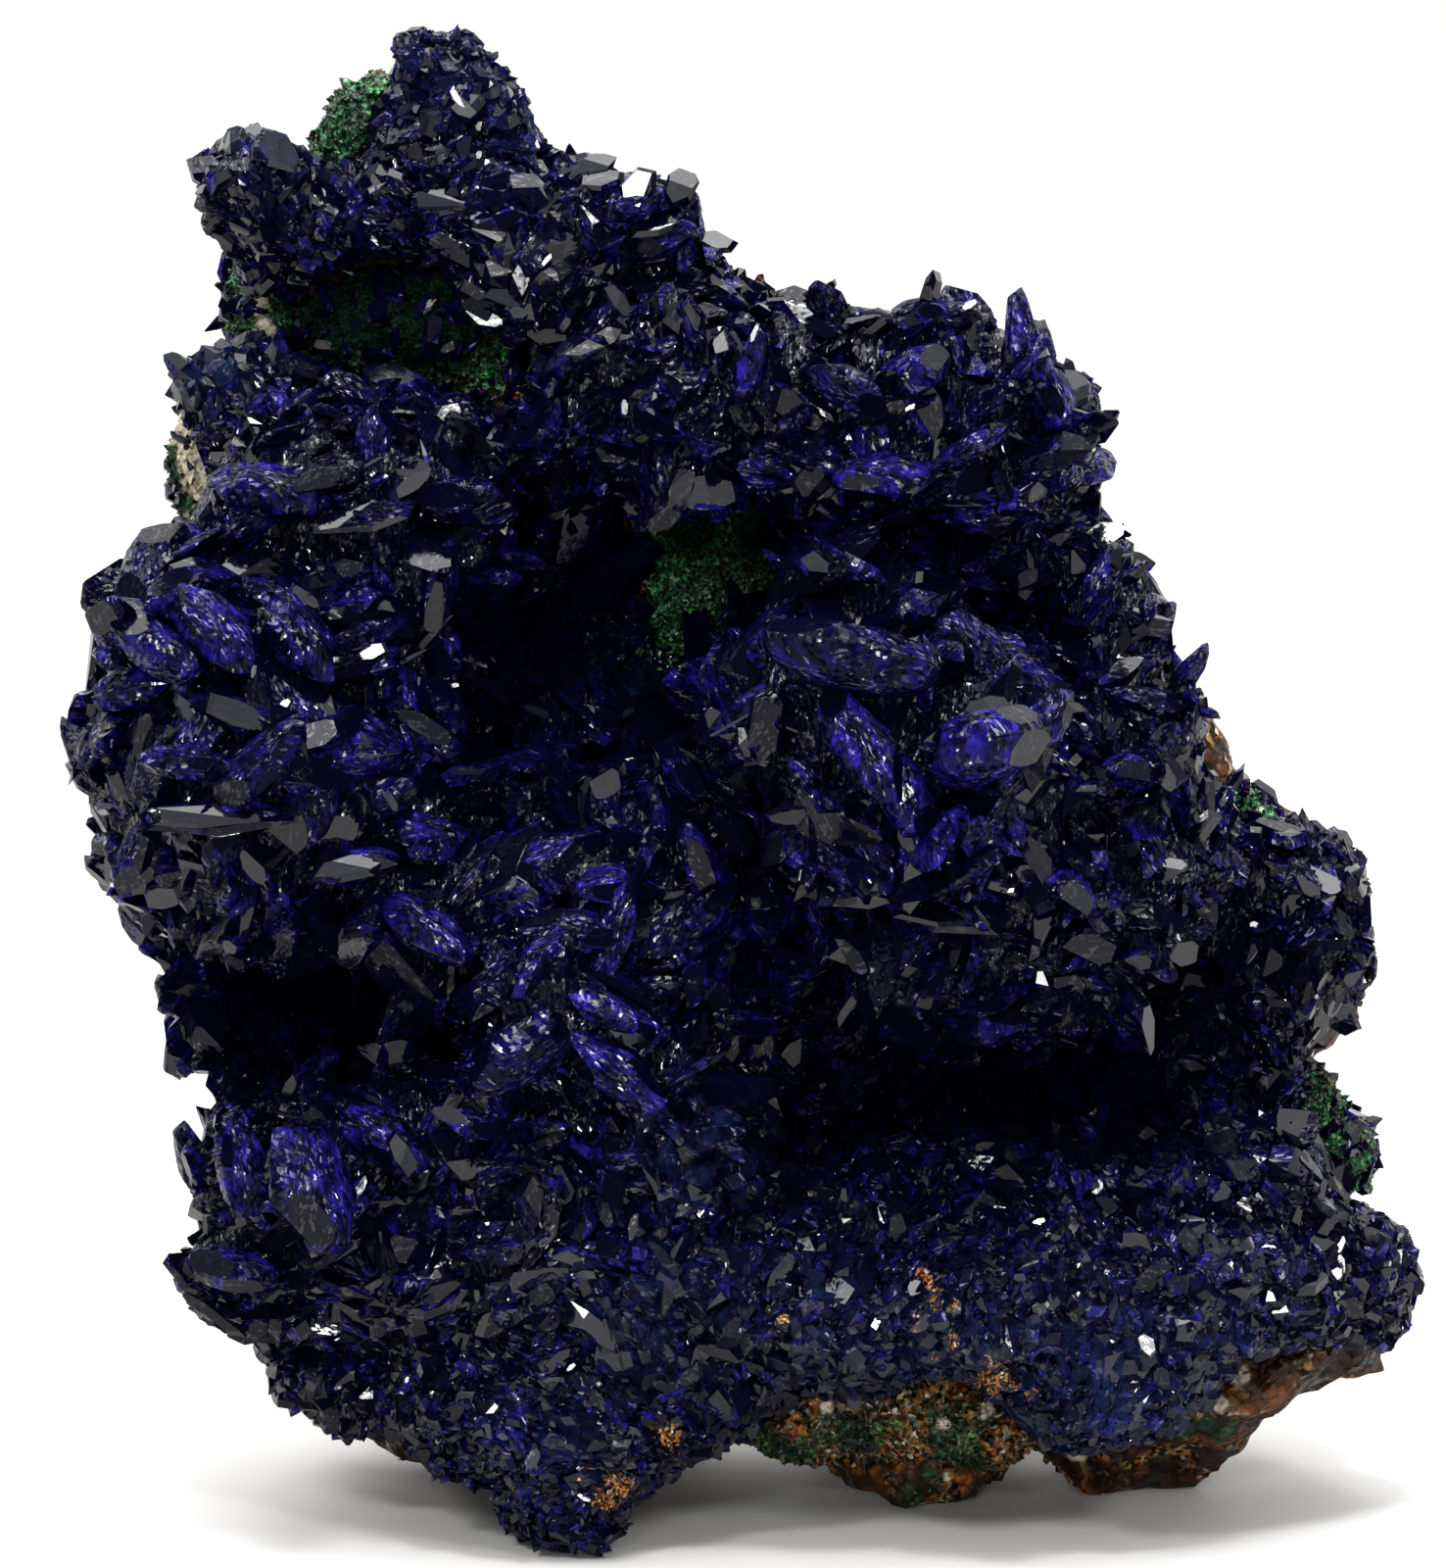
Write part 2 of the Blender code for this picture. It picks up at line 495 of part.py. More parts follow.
def grown_blades():
    """Middle, direction, length, width, thickness and roll of the blades that cover the lobes.

    Each lobe with blades long enough to stand out gets points on a golden spiral. A blade lies where the skin
    faces the front, no other lobe and no rock covers it and no known blade is near. It is half sunk, with its
    tip rising from the skin. The lobes with finer crystals have only their craggy facets.
    """
    chance = np.random.default_rng(SEED)
    shapes = [row[:6] for row in AZURITE_LOBES]
    known = [(middle, length) for middle, _, length, _, _, _ in known_blades()]
    for number, (across, up, deep, *half, longest) in enumerate(AZURITE_LOBES):
        if longest < SHORTEST_BLADE_MM:
            continue
        half = np.array(half)[[0, 2, 1]]
        area = 4 * math.pi * (half[0] * half[1] + half[1] * half[2] + half[0] * half[2]) / 3
        aims = unit_directions(max(5, round(area / (BLADE_SPACING * longest) ** 2)))
        aims = aims + chance.normal(0.0, STRAY, aims.shape)
        aims /= np.linalg.norm(aims, axis=1, keepdims=True)
        middles = np.array((across, deep, up)) + aims * half
        normals = aims / half
        normals /= np.linalg.norm(normals, axis=1, keepdims=True)
        flat = np.cross(normals, chance.normal(size=normals.shape))
        flat /= np.linalg.norm(flat, axis=1, keepdims=True)
        leans = flat + normals * chance.uniform(*BLADE_RISE, (len(aims), 1))
        leans /= np.linalg.norm(leans, axis=1, keepdims=True)
        lengths = longest * chance.uniform(*LENGTH_SHARE, len(aims))
        widths = lengths * chance.uniform(*WIDTH_SHARE, len(aims))
        thicknesses = widths * chance.uniform(*THICKNESS_SHARE, len(aims))
        rolls = chance.uniform(0.0, math.pi, len(aims))
        kept = outside(middles, shapes[:number] + shapes[number + 1 :], 1.02)
        kept &= outside(middles, ROCK_LOBES, 1.12) & (normals[:, 1] < -BLADE_FACES_FRONT)
        for middle, length in known:
            kept &= np.linalg.norm(middles - middle, axis=1) > CLEAR_OF_KNOWN * length
        middles = middles + normals * BLADE_PROUD_MM
        for site in np.flatnonzero(kept):
            blade = lengths[site], widths[site], thicknesses[site], rolls[site]
            yield Vector(middles[site]), Vector(leans[site]), *blade


def blade_shape(sides, ridge):
    """A unit blade about its middle: a prism that widens upwards and is pinched to a ridge on top."""
    shape = bmesh.new()
    bmesh.ops.create_cone(
        shape, cap_ends=True, segments=sides, radius1=0.4, radius2=0.5, depth=0.78,
        matrix=Matrix.Translation((0.0, 0.0, -0.11)),
    )
    top = max(shape.faces, key=lambda face: face.calc_center_median().z)
    tip = bmesh.ops.extrude_face_region(shape, geom=[top])
    bmesh.ops.delete(shape, geom=[top], context="FACES_ONLY")
    for part in tip["geom"]:
        if isinstance(part, bmesh.types.BMVert):
            part.co = (math.copysign(ridge, part.co.x), 0.0, 0.5)
    bmesh.ops.remove_doubles(shape, verts=shape.verts, dist=0.01)
    mesh = bpy.data.meshes.new("blade")
    shape.to_mesh(mesh)
    shape.free()
    return mesh


def crystal_growth(collection):
    """All the large blades in one helper: six-sided known ones, and four-sided ones that cover the lobes."""
    growth = bmesh.new()
    for blade, places in ((blade_shape(6, 0.3), known_blades()), (blade_shape(4, 0.0), grown_blades())):
        for middle, aim, length, width, thickness, roll in places:
            turn = aim.to_track_quat("Z", "Y").to_matrix().to_4x4() @ Matrix.Rotation(roll, 4, "Z")
            size = Matrix.Diagonal((width, thickness, length, 1.0))
            growth.from_mesh(blade)
            fresh = growth.verts[-len(blade.vertices) :]
            place = picture_plane() @ Matrix.Translation(middle) @ turn @ size
            bmesh.ops.transform(growth, matrix=place, verts=fresh)
        bpy.data.meshes.remove(blade)
    mesh = bpy.data.meshes.new("crystal growth")
    growth.to_mesh(mesh)
    growth.free()
    return as_helper(new_object("crystal growth", mesh, collection))


def settle(form, name, collection, material):
    """Turns a cut form into the finished piece, one closed body, and removes the form."""
    mesh = largest_body(fixed_mesh(form))
    bpy.data.objects.remove(form)
    return new_object(name, mesh, collection, material)


def rock(pieces, cutters, ground):
    """The iron-stained rock slab with its feet."""
    skin = (LOBE_VOXEL_MM, ROCK_KEEP, ROCK_CRAG_MM, ROCK_GRAIN_MM)
    form = lump("rock form", ROCK_LOBES + ROCK_FEET, cutters, *skin)
    cut_or_join(form, "DIFFERENCE", ground)
    return settle(form, "matrix_rock", pieces, finish("limonite rock", *ROCK_FINISH))


def malachite(pieces, cutters, ground, rock_room):
    """The malachite crusts, each one lying on the rock."""
    green = finish("malachite", *MALACHITE_FINISH)
    skin = (CRUST_VOXEL_MM, CRUST_KEEP, CRUST_CRAG_MM, CRUST_GRAIN_MM)
    rooms = []
    for name, rows in MALACHITE_CRUSTS.items():
        form = lump(name + " form", rows, cutters, *skin)
        rooms.append(room_for(form, cutters))
        cut_or_join(form, "DIFFERENCE", rock_room)
        cut_or_join(form, "DIFFERENCE", ground)
        settle(form, name, pieces, green)
    return rooms


def azurite(pieces, cutters, ground, rooms):
    """The azurite: the lobes and every large blade joined in one mass, fitted over rock and malachite."""
    rows = tuple(row[:6] for row in AZURITE_LOBES)
    skin = (LOBE_VOXEL_MM, AZURITE_KEEP, AZURITE_CRAG_MM, AZURITE_GRAIN_MM)
    form = lump("azurite form", rows, cutters, *skin)
    join = cut_or_join(form, "UNION", crystal_growth(cutters))
    join.use_self = True
    for room in rooms:
        cut_or_join(form, "DIFFERENCE", room)
    cut_or_join(form, "DIFFERENCE", ground)
    return settle(form, "azurite_crystals", pieces, finish("azurite", *AZURITE_FINISH))


def main():
    clear_scene()
    pieces = new_collection("azurite specimen")
    cutters = new_collection("cutters")
    ground = floor_cutter(cutters)
    slab = rock(pieces, cutters, ground)
    rock_room = room_for(slab, cutters)
    crust_rooms = malachite(pieces, cutters, ground, rock_room)
    azurite(pieces, cutters, ground, [rock_room, *crust_rooms])


main()
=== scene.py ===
"""Looks of an azurite specimen: blue bladed crystals over green malachite on iron-stained rock."""

import json
import math

import bmesh
import bpy
import numpy as np
from mathutils import Matrix, Vector
from mathutils.bvhtree import BVHTree

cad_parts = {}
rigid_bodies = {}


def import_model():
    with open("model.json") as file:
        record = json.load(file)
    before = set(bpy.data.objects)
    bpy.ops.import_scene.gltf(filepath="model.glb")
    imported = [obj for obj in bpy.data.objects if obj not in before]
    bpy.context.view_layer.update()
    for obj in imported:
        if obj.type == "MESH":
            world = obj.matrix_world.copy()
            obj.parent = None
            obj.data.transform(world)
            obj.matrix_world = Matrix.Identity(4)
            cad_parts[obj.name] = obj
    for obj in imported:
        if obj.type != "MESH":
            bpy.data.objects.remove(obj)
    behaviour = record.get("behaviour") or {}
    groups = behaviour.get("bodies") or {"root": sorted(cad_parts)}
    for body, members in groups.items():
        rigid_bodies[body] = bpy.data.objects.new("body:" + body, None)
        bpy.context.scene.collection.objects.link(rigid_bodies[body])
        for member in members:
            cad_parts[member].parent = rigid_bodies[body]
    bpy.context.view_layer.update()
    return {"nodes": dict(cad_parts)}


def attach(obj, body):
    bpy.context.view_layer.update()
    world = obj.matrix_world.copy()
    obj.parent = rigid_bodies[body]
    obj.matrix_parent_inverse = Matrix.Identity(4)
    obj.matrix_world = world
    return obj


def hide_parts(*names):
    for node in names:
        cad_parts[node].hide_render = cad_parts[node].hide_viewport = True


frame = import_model()


# The matrix: one slab of iron-stained rock that carries everything. It is limonite, rusty and earthy, with
# ochre and orange crumbs, dark pits, bleached cream edges and a green stain where malachite has soaked in. It
# was broken off the wall of the pocket, so its back and feet are rough stone.
MM = 0.001
ROCK_CELL_MM = 0.5
ROCK_RELIEF_MM = ((5.0, 0.9), (2.0, 0.55), (0.9, 0.28))
ROCK_SINK_MM = 0.25
ROCK_SEED = 11
ROCK_BROWN = (0.06, 0.017, 0.007, 1.0)
ROCK_ORANGE = (0.62, 0.2, 0.03, 1.0)
ROCK_OCHRE = (0.68, 0.4, 0.13, 1.0)
ROCK_CREAM = (0.95, 0.85, 0.66, 1.0)
ROCK_DARK = (0.016, 0.008, 0.005, 1.0)
STAIN_GREEN = (0.03, 0.11, 0.04, 1.0)
EARTH = (ROCK_DARK, ROCK_BROWN, ROCK_ORANGE, ROCK_OCHRE, ROCK_CREAM)
VIEW_TILT = math.radians(10)
STAND_MM = (0.22, -9.27, -1.35)
# Where the stone is bleached to cream, on its left edge and in the notch above: across, up, reach and amount.
CREAM_SPOTS = (
    (-30, 58.8, 1, 1), (-29.2, 57.4, 1, 1), (-28.7, 55.9, 0.9, 1), (-28.2, 54.4, 0.8, 0.9),
    (-25.4, 63.6, 0.7, 0.9), (-25, 62.3, 0.7, 0.8), (25, 8.8, 0.55, 1), (20, 7, 0.6, 0.8),
    (24, 7.3, 0.5, 0.8), (6.2, 8, 0.6, 0.9), (3.9, 7.3, 0.4, 0.8), (9.8, 6.4, 0.5, 0.8),
    (16.8, 4.6, 0.6, 0.8), (12, 7, 0.5, 0.7),
)
# Painted shade: in the deep hollows stone and malachite are darkened nearly to black, and the malachite's
# sheen is dimmed. Two weaker spots darken the ledge at the lower right.
PAINTED_SHADE_SPOTS = (
    (-3, 52.2, 2.4, 1.2), (0.5, 52, 2.4, 1.2), (27.5, 9, 4, 0.55), (31.5, 10.5, 3, 0.6), (-19, 64, 4, 1.6),
    (-16, 62.5, 3.6, 1.5), (-21.5, 62.5, 3, 1.3), (-19, 67, 3, 1.5), (-14, 65.5, 2.5, 1.2),
)
# Where orange and ochre crumbs lie among the green.
RUST_SPOTS = (
    (8, 5.2, 1.5, 1), (13, 5.3, 1.4, 1), (5, 7.9, 1, 0.9), (7.5, 7.8, 1, 0.9), (3, 7.6, 0.8, 0.8),
    (8.5, 3.2, 1.8, 0.9), (-12, 58.5, 1, 0.8), (-10.8, 61, 0.7, 0.7),
)
STONE_MARKS = {"cream": CREAM_SPOTS, "painted_shade": PAINTED_SHADE_SPOTS, "rust": RUST_SPOTS}
# The picture plane, square to the line of sight: it turns (across, deep, up) in millimetres into metres.
plane = Matrix.Translation(Vector(STAND_MM) * MM) @ Matrix.Rotation(-VIEW_TILT, 4, "X") @ Matrix.Scale(MM, 4)
sight = (plane.to_3x3() @ Vector((0, 1, 0))).normalized()


def on_picture(points):
    """Across, deep and up in millimetres on the picture plane, of points in metres."""
    back = np.array(plane.inverted())
    return points @ back[:3, :3].T + back[:3, 3]


def soft_spots(points, spots):
    """How strongly each point lies in round soft-edged spots on the picture plane, from 0 to 1."""
    flat = on_picture(points)
    total = np.zeros(len(points))
    for across, up, reach, amount in spots:
        off = ((flat[:, 0] - across) ** 2 + (flat[:, 2] - up) ** 2) / reach**2
        total = np.maximum(total, amount * np.exp(-off))
    return total


def rows_of(items, key):
    """One vector for each of a mesh's vertices, normals or faces, one row each."""
    flat = np.empty(len(items) * 3, np.float32)
    items.foreach_get(key, flat)
    return flat.reshape(-1, 3).astype(float)


def set_attribute(mesh, name, values, domain="POINT"):
    """Stores one number for each vertex, or for each face, which a material reads by that name."""
    attribute = mesh.attributes.new(name, "FLOAT", domain)
    attribute.data.foreach_set("value", np.asarray(values, np.float32))


def set_marks(mesh, tables, points, share=1.0):
    """Stores how strongly each table's spots lie at each vertex's point, times the share."""
    for mark, spots in tables.items():
        set_attribute(mesh, mark, soft_spots(points, spots) * share)


def linked(name, data):
    """A new object of a mesh, a lamp or a camera, in the scene."""
    obj = bpy.data.objects.new(name, data)
    bpy.context.scene.collection.objects.link(obj)
    return obj


def noise(points, grain_mm, seed):
    """Value noise from -1 to 1: random numbers on a cubic lattice, blended by smooth steps."""
    cell = points / (grain_mm * MM)
    low = np.floor(cell).astype(int)
    share = cell - low
    share = share * share * (3 - 2 * share)
    side = 48
    lattice = np.random.default_rng(seed).uniform(-1.0, 1.0, (side, side, side))
    total = np.zeros(len(points))
    for corner in np.ndindex(2, 2, 2):
        weight = np.where(corner, share, 1 - share).prod(axis=1)
        total += weight * lattice[tuple(((low + corner) % side).T)]
    return total


def refined_copy(name, node, cell_mm, smooth_steps):
    """A copy of a CAD node as one fine even skin: merged, remeshed in cells of that size, then smoothed."""
    mesh = frame["nodes"][node].data.copy()
    shape = bmesh.new()
    shape.from_mesh(mesh)
    bmesh.ops.remove_doubles(shape, verts=shape.verts, dist=1e-6)
    shape.to_mesh(mesh)
    shape.free()
    mesh.materials.clear()
    obj = linked(name, mesh)
    skin = obj.modifiers.new("skin", "REMESH")
    skin.mode = "VOXEL"
    skin.voxel_size = cell_mm * MM
    if smooth_steps:
        ease = obj.modifiers.new("ease", "SMOOTH")
        ease.factor = 0.5
        ease.iterations = smooth_steps
    graph = bpy.context.evaluated_depsgraph_get()
    obj.data = bpy.data.meshes.new_from_object(obj.evaluated_get(graph))
    obj.modifiers.clear()
    bpy.data.meshes.remove(mesh)
    return obj


def roughened(obj, relief_mm, sink_mm, seed):
    """Moves each vertex along its normal by a sum of noises, each a (grain, depth) in mm, less the sink.

    No vertex goes below the ground, so the feet stay flat.
    """
    mesh = obj.data
    points, normals = rows_of(mesh.vertices, "co"), rows_of(mesh.vertex_normals, "vector")
    push = np.full(len(points), -sink_mm)
    for step, (grain_mm, depth_mm) in enumerate(relief_mm):
        push += depth_mm * noise(points, grain_mm, seed + step)
    points = points + normals * push[:, None] * MM
    points[:, 2] = np.maximum(points[:, 2], 0.0)
    mesh.vertices.foreach_set("co", points.astype(np.float32).ravel())
    mesh.update()


def new_material(name):
    """A material with its node tree and its Principled shader."""
    material = bpy.data.materials.new(name)
    material.use_nodes = True
    tree = material.node_tree
    return material, tree, tree.nodes["Principled BSDF"]


def feed(tree, socket, value):
    """Sets a socket to a value, or links it where the value is another node's output."""
    if isinstance(value, bpy.types.NodeSocket):
        tree.links.new(value, socket)
    else:
        socket.default_value = value


def put(tree, kind, **inputs):
    """A new node with its named inputs fed. A name that isn't an input is a setting of the node."""
    node = tree.nodes.new(kind)
    for name, value in inputs.items():
        socket = node.inputs.get(name.replace("_", " "))
        if socket is None:
            setattr(node, name, value)
        else:
            feed(tree, socket, value)
    return node


def ramp(tree, value, low, high):
    """The value stretched so that low becomes 0 and high becomes 1, and held there."""
    return put(tree, "ShaderNodeMapRange", From_Min=low, From_Max=high, Value=value).outputs["Result"]


def mixed(tree, share, first, second):
    """A colour that goes from the first to the second with the share. Each is a colour or an output."""
    node = put(tree, "ShaderNodeMix", data_type="RGBA")
    for place, value in ((0, share), (6, first), (7, second)):
        feed(tree, node.inputs[place], value)
    return node.outputs[2]


def combine(tree, operation, first, second):
    """Math on two values, each a number or an output, held between 0 and 1."""
    node = put(tree, "ShaderNodeMath", operation=operation, use_clamp=True)
    feed(tree, node.inputs[0], first)
    feed(tree, node.inputs[1], second)
    return node.outputs[0]


def times(tree, first, *others):
    """The product of numbers and outputs, held between 0 and 1 at each step."""
    for other in others:
        first = combine(tree, "MULTIPLY", first, other)
    return first


def less(tree, value):
    """1 less the value."""
    return combine(tree, "SUBTRACT", 1.0, value)


def stored(tree, name):
    """The number that the mesh stores under that name."""
    return put(tree, "ShaderNodeAttribute", attribute_name=name).outputs["Fac"]


def vector(tree, operation, *values, **settings):
    """Vector math on vectors, each three numbers or an output."""
    node = put(tree, "ShaderNodeVectorMath", operation=operation, **settings)
    for socket, value in zip(node.inputs, values):
        feed(tree, socket, value)
    return node.outputs[0]


def grain_group():
    """A node group for mineral grain, from noise patches and from the cells of a finer mosaic.

    Patches is a soft value from 0 to 1. Pick is one random value for each grain, Gap rises from 0 in a
    grain's middle to 1 between grains, and Tilt is a random direction for each grain, short of unit length.
    """
    group = bpy.data.node_groups.new("mineral grain", "ShaderNodeTree")
    for name, kind in (("Vector", "NodeSocketVector"), ("Patch Size mm", "NodeSocketFloat"),
                       ("Grain Size mm", "NodeSocketFloat")):
        group.interface.new_socket(name=name, in_out="INPUT", socket_type=kind)
    for name, kind in (("Patches", "NodeSocketFloat"), ("Pick", "NodeSocketFloat"),
                       ("Gap", "NodeSocketFloat"), ("Tilt", "NodeSocketVector")):
        group.interface.new_socket(name=name, in_out="OUTPUT", socket_type=kind)
    enter = group.nodes.new("NodeGroupInput")
    leave = group.nodes.new("NodeGroupOutput")
    scales = []
    for name in ("Patch Size mm", "Grain Size mm"):
        scale = put(group, "ShaderNodeMath", operation="DIVIDE")
        feed(group, scale.inputs[0], 1 / MM)
        feed(group, scale.inputs[1], enter.outputs[name])
        scales.append(scale.outputs[0])
    patches = put(group, "ShaderNodeTexNoise", Vector=enter.outputs["Vector"], Scale=scales[0], Detail=3.0,
                  Roughness=0.6)
    grains = put(group, "ShaderNodeTexVoronoi", Vector=enter.outputs["Vector"], Scale=scales[1])
    parts = put(group, "ShaderNodeSeparateColor", Color=grains.outputs["Color"])
    tilt = vector(group, "SUBTRACT", grains.outputs["Color"], (0.5, 0.5, 0.5))
    feed(group, leave.inputs["Patches"], ramp(group, patches.outputs["Fac"], 0.3, 0.7))
    feed(group, leave.inputs["Pick"], parts.outputs["Blue"])
    feed(group, leave.inputs["Gap"], ramp(group, grains.outputs["Distance"], 0.2, 0.75))
    feed(group, leave.inputs["Tilt"], tilt)
    return group


def grain(tree, patch_mm, grain_mm, offset=(0.0, 0.0, 0.0)):
    """The mineral grain group placed on the object's own coordinates, shifted so that no two layers match."""
    place = put(tree, "ShaderNodeTexCoord")
    shift = put(tree, "ShaderNodeMapping", Vector=place.outputs["Object"], Location=offset)
    node = put(tree, "ShaderNodeGroup", node_tree=bpy.data.node_groups.get("mineral grain") or grain_group())
    feed(tree, node.inputs["Vector"], shift.outputs[0])
    feed(tree, node.inputs["Patch Size mm"], patch_mm)
    feed(tree, node.inputs["Grain Size mm"], grain_mm)
    return node


def raised(tree, height, strength, depth_mm):
    """A normal that stands up as the height says, by that many millimetres."""
    return put(tree, "ShaderNodeBump", Strength=strength, Distance=depth_mm * MM, Height=height).outputs[0]


def flaked(tree, tilt, amount, normal=None):
    """The normal turned flake by flake, so that each grain mirrors its own part of the room."""
    normal = normal or put(tree, "ShaderNodeNewGeometry").outputs["Normal"]
    return vector(tree, "NORMALIZE", vector(tree, "ADD", normal, vector(tree, "SCALE", tilt, Scale=amount)))


def picked(tree, pick, shares, colours):
    """One of the colours for each grain. Each colour starts at its share of the grains."""
    node = put(tree, "ShaderNodeValToRGB", Fac=pick)
    node.color_ramp.interpolation = "CONSTANT"
    stops = node.color_ramp.elements
    stops.remove(stops[1])
    stops[0].color = colours[0]
    for share, colour in zip(shares[1:], colours[1:]):
        stops.new(share).color = colour
    return node.outputs["Color"]


def ragged(tree, layer, mark):
    """How far a mark's spots reach, broken up by the layer's patches."""
    patches = combine(tree, "ADD", layer.outputs["Patches"], 0.35)
    return ramp(tree, times(tree, stored(tree, mark), patches), 0.25, 0.45)


def limonite_material():
    """Rusty limonite: brown to orange patches, with crumbs, a green stain, dark pits and bleached spots."""
    material, tree, shader = new_material("limonite")
    broad, fine = grain(tree, 4.0, 0.9), grain(tree, 2.2, 0.26, (0.3, 0.1, 0.7))
    rust = mixed(tree, ramp(tree, broad.outputs["Patches"], 0.5, 1.0), ROCK_BROWN, ROCK_ORANGE)
    crumbs = picked(tree, fine.outputs["Pick"], (0.0, 0.3, 0.52, 0.72, 0.86), EARTH)
    colour = mixed(tree, ramp(tree, fine.outputs["Patches"], 0.5, 0.7), rust, crumbs)
    green = grain(tree, 5.5, 0.6, (0.9, 0.4, 0.2))
    colour = mixed(tree, ramp(tree, green.outputs["Patches"], 0.65, 0.8), colour, STAIN_GREEN)
    colour = mixed(tree, times(tree, broad.outputs["Gap"], 0.9), colour, ROCK_DARK)
    colour = mixed(tree, ragged(tree, fine, "cream"), colour, ROCK_CREAM)
    # Painted shade: the stone is darkened nearly to black in the deep hollows, less on the lower right ledge.
    colour = mixed(tree, times(tree, stored(tree, "painted_shade"), 0.97), colour, ROCK_DARK)
    feed(tree, shader.inputs["Base Color"], colour)
    feed(tree, shader.inputs["Roughness"], 0.42)
    feed(tree, shader.inputs["Specular IOR Level"], 0.3)
    dented = raised(tree, less(tree, broad.outputs["Gap"]), 0.7, 0.35)
    feed(tree, shader.inputs["Normal"], flaked(tree, fine.outputs["Tilt"], 0.8, dented))
    return material


rock = refined_copy("rock_matrix", "matrix_rock", ROCK_CELL_MM, 0)
roughened(rock, ROCK_RELIEF_MM, ROCK_SINK_MM, ROCK_SEED)
towards_back = np.clip(rows_of(rock.data.vertex_normals, "vector")[:, 1] * 2.0, 0.0, 1.0)
set_marks(rock.data, STONE_MARKS, rows_of(rock.data.vertices, "co"), 1 - towards_back)
limonite = limonite_material()
rock.data.materials.append(limonite)
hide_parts("matrix_rock")
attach(rock, "root")


# The malachite: green crusts that lie in the rock's hollows and on its edges. Each is a velvety skin of tiny
# upright needles and balls, dark green below and brighter on its tips. Rust and cream crumbs lie at its foot.
CRUST_CELL_MM = 0.32
CRUST_RELIEF_MM = ((2.2, 0.35), (0.9, 0.3), (0.45, 0.2))
CRUST_SINK_MM = 0.1
CRUST_SEED = 40
MALACHITE_DEEP = (0.002, 0.012, 0.006, 1.0)
MALACHITE_GREEN = (0.02, 0.3, 0.09, 1.0)
MALACHITE_BRIGHT = (0.1, 0.68, 0.2, 1.0)
MALACHITE_PALE = (0.5, 0.85, 0.45, 1.0)
GREENS = (MALACHITE_DEEP, MALACHITE_GREEN, MALACHITE_BRIGHT, MALACHITE_PALE, ROCK_CREAM)
RUSTY_CRUSTS = ("malachite_foot", "malachite_back_lower")


def malachite_material(name, rust_share, warmth):
    """Velvety malachite: needles from nearly black to pale, warmed towards ochre, and rusty crumbs."""
    material, tree, shader = new_material(name)
    broad, fine = grain(tree, 2.4, 0.5), grain(tree, 1.2, 0.17, (0.5, 0.2, 0.8))
    needles = picked(tree, fine.outputs["Pick"], (0.0, 0.4, 0.72, 0.9, 0.97), GREENS)
    needles = mixed(tree, warmth, needles, ROCK_OCHRE)
    colour = mixed(tree, ramp(tree, broad.outputs["Patches"], warmth, 0.75 + warmth), MALACHITE_DEEP, needles)
    stain = grain(tree, 3.0, 0.34, (0.1, 0.9, 0.4))
    crumbs = picked(tree, stain.outputs["Pick"], (0.0, 0.2, 0.35, 0.65, 0.85), EARTH)
    rusty = ramp(tree, stain.outputs["Patches"], 1.0 - rust_share, 1.15 - rust_share)
    rusty = combine(tree, "MAXIMUM", rusty, ragged(tree, stain, "rust"))
    colour = mixed(tree, rusty, colour, crumbs)
    colour = mixed(tree, times(tree, broad.outputs["Gap"], 0.85), colour, MALACHITE_DEEP)
    colour = mixed(tree, ragged(tree, stain, "cream"), colour, ROCK_CREAM)
    # Painted shade: in the deep hollows the needles are darkened to the deepest green and their sheen dimmed.
    painted_shade = stored(tree, "painted_shade")
    colour = mixed(tree, times(tree, painted_shade, 1.0), colour, MALACHITE_DEEP)
    feed(tree, shader.inputs["Base Color"], colour)
    feed(tree, shader.inputs["Roughness"], 0.35)
    gleam = combine(tree, "ADD", times(tree, less(tree, painted_shade), 0.3), 0.03)
    feed(tree, shader.inputs["Specular IOR Level"], gleam)
    feed(tree, shader.inputs["IOR"], 1.65)
    lumpy = raised(tree, less(tree, broad.outputs["Gap"]), 0.8, 0.3)
    feed(tree, shader.inputs["Normal"], flaked(tree, fine.outputs["Tilt"], 1.2, lumpy))
    return material


velvet = malachite_material("malachite", 0.2, 0.03)
rusty_velvet = malachite_material("malachite_rusty", 0.42, 0.22)
crusts = {}
for number, node in enumerate(sorted(name for name in frame["nodes"] if name.startswith("malachite_"))):
    crust = refined_copy(node + "_crust", node, CRUST_CELL_MM, 1)
    roughened(crust, CRUST_RELIEF_MM, CRUST_SINK_MM, CRUST_SEED + 3 * number)
    set_marks(crust.data, STONE_MARKS, rows_of(crust.data.vertices, "co"))
    crust.data.materials.append(rusty_velvet if node in RUSTY_CRUSTS else velvet)
    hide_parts(node)
    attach(crust, "root")
    crusts[node] = crust


# The azurite's ground: the mass in which all the crystals are rooted. It is the same mineral, grown so close
# that single crystals are lost in it, so it shows as dark glittering gravel between the blades.
GROUND_CELL_MM = 0.55
GROUND_RELIEF_MM = ((1.3, 0.4), (0.7, 0.3))
GROUND_SINK_MM = 0.45
GROUND_SEED = 80
GROUND_POLISH = 0.25
GROUND_TINT = 0.08
GREEN_EDGE = 0.4
AZURITE_BLACK = (0.0012, 0.0012, 0.009, 1.0)
AZURITE_ULTRAMARINE = (0.036, 0.022, 0.52, 1.0)
DUST_TEAL = (0.04, 0.09, 0.27, 1.0)
OCHRE_GOLD = (0.42, 0.2, 0.04, 1.0)
